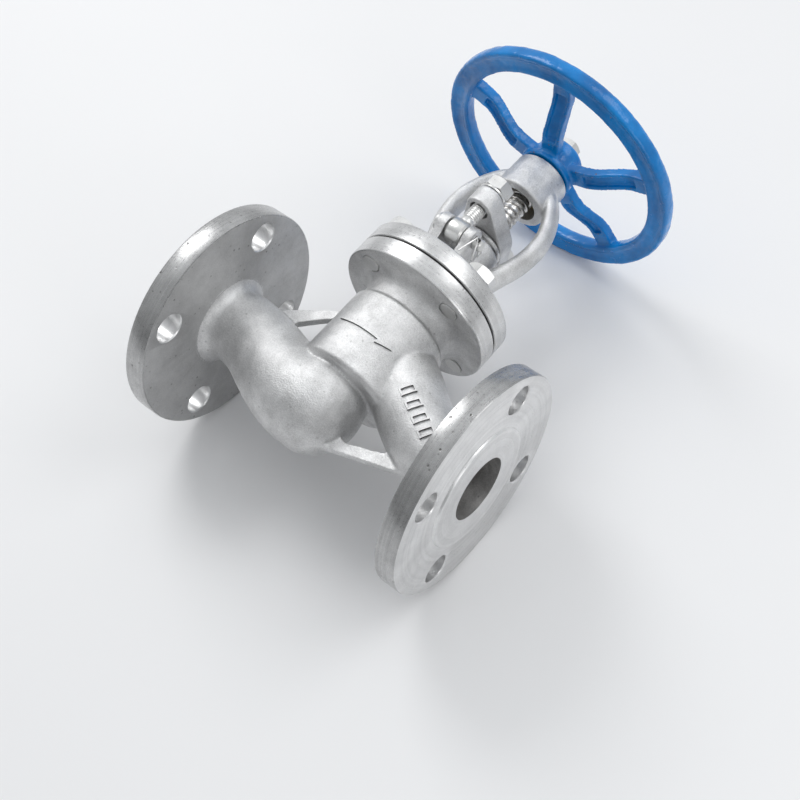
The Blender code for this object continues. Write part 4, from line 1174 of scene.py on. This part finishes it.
@dataclass
class Spindle:
    """Rising stem with its thread, the brass nut it turns in, and the wheel's fixing."""

    finishes: Finishes
    stem_r: float = 7.9
    root_r: float = 6.0
    pitch: float = 4.0
    thread_z: float = 148.0
    turns: int = 11
    square: float = 9.0
    end_r: float = 4.0
    end_z: float = 227.0

    def thread(self) -> Solid:
        """Wind a toothed outline up the stem, one pitch for each turn."""
        root, crest = self.root_r - 0.2, self.stem_r - 0.1
        points = [(0.0, 0.0, self.turns * self.pitch), (root, 0.0, self.turns * self.pitch)]
        for turn in reversed(range(self.turns)):
            low = turn * self.pitch
            points += [(root, 0.0, low + 3.1), (crest - 0.15, 0.0, low + 2.45), (crest, 0.0, low + 2.3),
                       (crest, 0.0, low + 0.9), (crest - 0.15, 0.0, low + 0.75), (root, 0.0, low + 0.1)]
        points += [(root, 0.0, 0.0), (0.0, 0.0, 0.0)]
        item = Bench.wire([(x, y, z + self.thread_z) for x, y, z in points])
        bpy.ops.object.mode_set(mode="OBJECT")
        Bench.modify(item, "SCREW", steps=48, render_steps=48, screw_offset=self.pitch * MM,
                     use_merge_vertices=True, merge_threshold=0.00001)
        Bench.edit(item)
        bpy.ops.mesh.remove_doubles(threshold=MERGE)
        bpy.ops.mesh.dissolve_degenerate(threshold=MERGE)
        bpy.ops.mesh.select_all(action="DESELECT")
        bpy.ops.mesh.select_non_manifold(extend=False, use_wire=True, use_boundary=True,
                                         use_multi_face=False, use_non_contiguous=False, use_verts=False)
        bpy.ops.mesh.fill_holes(sides=0)
        return Bench.close_up(item)

    def build(self) -> None:
        """Make the stem, its nut and set screw, and the wheel's nut and washer."""
        shoulder, square_z = 215.8, 195.2
        outline = [(0.0, square_z), (self.root_r, square_z), (self.root_r, self.thread_z + 3.1),
                   (self.stem_r, self.thread_z + 0.55), (self.stem_r, 61.0), (10.4, 58.5), (10.4, 54.5),
                   (self.stem_r, 52.5), (self.stem_r, 21.7), (10.8, 21.7), (11.0, 21.5), (11.0, 15.2),
                   (10.8, 15.0), (0.0, 15.0)]
        stem = Bench.turned(outline, 64)
        drive = Bench.plate(square(self.square / 2), square_z - 2.0, shoulder)
        Bench.modify(drive, "BEVEL", width=0.7 * MM, segments=2, limit_method="ANGLE")
        tip = [(0.0, self.end_z), (self.end_r - 0.7, self.end_z), (self.end_r, self.end_z - 0.7)]
        tip += cut_thread(3.95, 3.5, self.end_z - 0.9, shoulder + 2.0, 1.25, 0.0, 0.45)
        tip += [(3.95, shoulder - 2.0), (0.0, shoulder - 2.0)]
        Bench.mix(stem, [drive, Bench.turned(tip, 40)], Mixing.WELD)
        Bench.mix(stem, [self.thread()], Mixing.WELD, "EXACT")
        Bench.tint(stem, self.finishes, "stem")
        Bench.finish(stem, "threaded_stem", "stem", "stem_steel", ["stem"], 30.0)

        nut = Bench.turned([(8.15, 193.6), (8.9, 194.3), (15.0, 194.3), (15.6, 193.7), (15.6, 190.3),
                            (12.7, 190.3), (12.7, 179.0), (12.2, 178.3), (8.9, 178.3), (8.15, 179.0)],
                           72, ring=True)
        Bench.tint(nut, self.finishes, "brass")
        Bench.finish(nut, "yoke_nut", "valve_body", "stem_nut_brass", ["stem_nut"])
        way = along_set_screw()
        screw = Bench.turned([(0.0, 17.7), (2.1, 17.7), (2.5, 17.3), (2.5, 13.2), (0.0, 13.2)], 40, way)
        slot = Bench.plate([(-3.0, -0.35), (3.0, -0.35), (3.0, 0.35), (-3.0, 0.35)], 16.9, 19.0, way)
        Bench.mix(screw, [slot], Mixing.CARVE)
        Bench.tint(screw, self.finishes, "bolt")
        Bench.finish(screw, "set_screw", "valve_body", "fastener_steel", ["stem_nut_screw"])

        washer = washer_blank(4.3, 8.5, 217.1)
        Bench.tint(washer, self.finishes, "bolt")
        Bench.finish(washer, "wheel_plain_washer", "stem", "fastener_steel", ["wheel_washer"])
        low = 219.0
        nut = hexagon_blank(13.0, low, low + 6.5)
        bore = [(0.0, low + 9.0), (7.5, low + 9.0), (4.3, low + 5.9), (4.3, low + 0.6), (7.0, low - 2.0),
                (0.0, low - 2.0)]
        Bench.mix(nut, [Bench.turned(bore, 40)], Mixing.CARVE)
        Bench.tint(nut, self.finishes, "bolt")
        Bench.finish(nut, "wheel_hexagon_nut", "stem", "fastener_steel", ["wheel_nut"], 25.0)


@dataclass
class Handwheel:
    """Cast wheel: grooved rim, five dished spokes and a collared hub."""

    finishes: Finishes
    rim_r: float = 82.9
    rim_width: float = 14.4
    rim_z: float = 212.1
    rim_half: float = 6.0
    hub_z: Point = (196.4, 216.8)
    hub_r: float = 16.0
    collar_r: float = 18.3
    spokes: int = 5
    first_spoke: float = -88.5
    spoke_width: float = 12.0
    spoke_depth: float = 7.2
    spoke_z: Point = (201.0, 210.5)
    bend_r: Point = (27.0, 59.0)
    hole_half: float = 4.8

    def rim(self) -> Solid:
        """Turn the rim, with a shallow groove round its underside."""
        middle, half = self.rim_r - self.rim_width / 2, self.rim_width / 2
        outline = []
        for x, y in arc((0.0, 0.0), 1.0, 90, -270, 40)[:-1]:
            bulge = 4.0 if y < 0 else 2.6
            squash = 1.0 / (abs(x) ** bulge + abs(y) ** bulge) ** (1 / bulge)
            lift = 2.4 * math.exp(-((x * squash) / 0.6) ** 4) if y < 0 else 0.0
            outline.append((middle + half * x * squash, self.rim_z + self.rim_half * y * squash + lift))
        return Bench.turned(outline, 128, ring=True)

    def spoke(self, number: int) -> Solid:
        """Shape one spoke: a dished bar with a channel along its underside."""
        low, high = self.spoke_z
        near, far = self.bend_r
        line = [(self.hub_r - 3.0, low)]
        for step in range(13):
            part = step / 12
            line.append((near + (far - near) * part, low + (high - low) * part * part * (3 - 2 * part)))
        line.append((self.rim_r - self.rim_width + 3.0, high))
        upright = Matrix.Rotation(math.pi / 2, 4, "X")
        bar = Bench.plate([*line, *((r, z + self.spoke_depth) for r, z in reversed(line))],
                          -self.spoke_width / 2, self.spoke_width / 2, upright)
        groove = [(r, z - 2.0) for r, z in line[1:-1]]
        groove += [(r, z + 3.2) for r, z in reversed(line[1:-1])]
        Bench.mix(bar, [Bench.plate(groove, -self.spoke_width / 2 + 2.3, self.spoke_width / 2 - 2.3,
                                    upright)], Mixing.CARVE)
        turn = math.radians(self.first_spoke + 360.0 * number / self.spokes)
        return Bench.placed(bar, Matrix.Rotation(turn, 4, "Z"))

    def build(self) -> None:
        """Cast the wheel and cut its square hole."""
        low, high = self.hub_z
        hub = [(0.0, high), (self.hub_r - 2.0, high), (self.hub_r, high - 2.0), (self.hub_r, low + 5.5),
               (self.collar_r, low + 4.5), (self.collar_r, low), (0.0, low)]
        parts = [self.rim(), Bench.turned(hub, 64), *(self.spoke(n) for n in range(self.spokes))]
        wheel = Bench.roughen(Bench.cast(parts, 0.85, 2), 0.6, 6.5)
        Bench.mix(wheel, [Bench.plate(square(self.hole_half), low - 5.0, high + 5.0)], Mixing.CARVE)
        Bench.tint(wheel, self.finishes, "paint")
        Bench.finish(wheel, "painted_handwheel", "stem", "wheel_paint", ["handwheel"], 60.0)


@dataclass
class Studio:
    """Pale floor, soft light and the camera."""

    finishes: Finishes
    eye: Point = (0.3104, -0.3584, 0.6950)
    ahead: Point = (-0.3643, 0.4183, -0.8320)
    above: Point = (-0.5103, 0.6577, 0.5541)
    lens: float = 59.49
    shift: Point = (-0.0340, -0.0157)
    board_size: float = 6.0
    board_gap: float = 0.0001

    def floor(self) -> None:
        """Lay a flat pale board under the valve."""
        Bench.clear()
        bpy.ops.mesh.primitive_plane_add(size=self.board_size, location=(0.0, 0.0, -self.board_gap))
        board = bpy.context.object
        Bench.edit(board)
        bpy.ops.mesh.subdivide(number_cuts=6)
        bpy.ops.object.mode_set(mode="OBJECT")
        board.name = "pale_floor"
        board.data.materials.append(self.finishes["floor"])

    def lamp(self, name: str, at: Point, aim: Point, size: Point, power: float) -> None:
        """Hang one soft box.

        Args:
            name: The lamp's name.
            at: Where it hangs, in metres.
            aim: What it faces.
            size: Its two sides.
            power: Its power in watts.
        """
        lamp = bpy.data.objects.new(name, bpy.data.lights.new(name, "AREA"))
        lamp.data.shape = "RECTANGLE"
        lamp.data.size, lamp.data.size_y = size
        lamp.data.energy = power
        lamp.location = at
        lamp.rotation_euler = (Vector(aim) - Vector(at)).to_track_quat("-Z", "Y").to_euler()
        bpy.context.scene.collection.objects.link(lamp)

    def camera(self) -> None:
        """Set the camera up."""
        camera = bpy.data.objects.new("camera", bpy.data.cameras.new("camera"))
        back = -Vector(self.ahead).normalized()
        right = Vector(self.above).cross(back).normalized()
        up = back.cross(right)
        turn = Matrix((right, up, back)).transposed().to_4x4()
        camera.matrix_world = Matrix.Translation(self.eye) @ turn
        camera.data.lens = self.lens
        camera.data.shift_x, camera.data.shift_y = self.shift
        camera.data.clip_start = 0.01
        bpy.context.scene.collection.objects.link(camera)
        bpy.context.scene.camera = camera

    def build(self) -> None:
        """Lay the floor, hang the lamps and set the camera up."""
        scene = bpy.context.scene
        scene.world = bpy.data.worlds.new("soft_room")
        scene.world.use_nodes = True
        background = scene.world.node_tree.nodes["Background"]
        tree = scene.world.node_tree
        place = tree.nodes.new("ShaderNodeTexCoord")
        rise = tree.nodes.new("ShaderNodeVectorMath")
        rise.operation = "DOT_PRODUCT"
        rise.inputs[1].default_value = (-0.15, 0.5, 0.85)
        sky = tree.nodes.new("ShaderNodeMapRange")
        tree.links.new(place.outputs["Generated"], rise.inputs[0])
        tree.links.new(rise.outputs["Value"], sky.inputs["Value"])
        for name, value in (("From Min", -0.25), ("From Max", 0.9), ("To Min", 0.28), ("To Max", 0.84)):
            sky.inputs[name].default_value = value
        tree.links.new(sky.outputs[0], background.inputs["Strength"])
        background.inputs["Color"].default_value = (0.96, 0.98, 1.0, 1.0)
        scene.view_settings.view_transform = "Standard"
        scene.view_settings.look = "None"
        self.floor()
        self.lamp("key_box", (-0.9, 0.3, 1.15), (0.0, 0.0, 0.05), (0.6, 0.6), 6.0)
        self.lamp("top_box", (0.55, 0.65, 1.2), (0.0, 0.0, 0.05), (0.8, 0.6), 3.2)
        self.lamp("side_box", (1.1, -0.35, 0.6), (0.0, -0.05, 0.05), (0.5, 0.6), 1.8)
        self.camera()


def main() -> None:
    """Build the valve's pieces in order, then the room around it."""
    logging.basicConfig(level=logging.INFO, format="%(name)s: %(message)s")
    finishes = Finishes()
    for assembly in (ValveBody, Bonnet, Gland, Spindle, Handwheel, Studio):
        assembly(finishes).build()
        LOG.info("%s done", assembly.__name__)


if __name__ == "__main__":
    main()
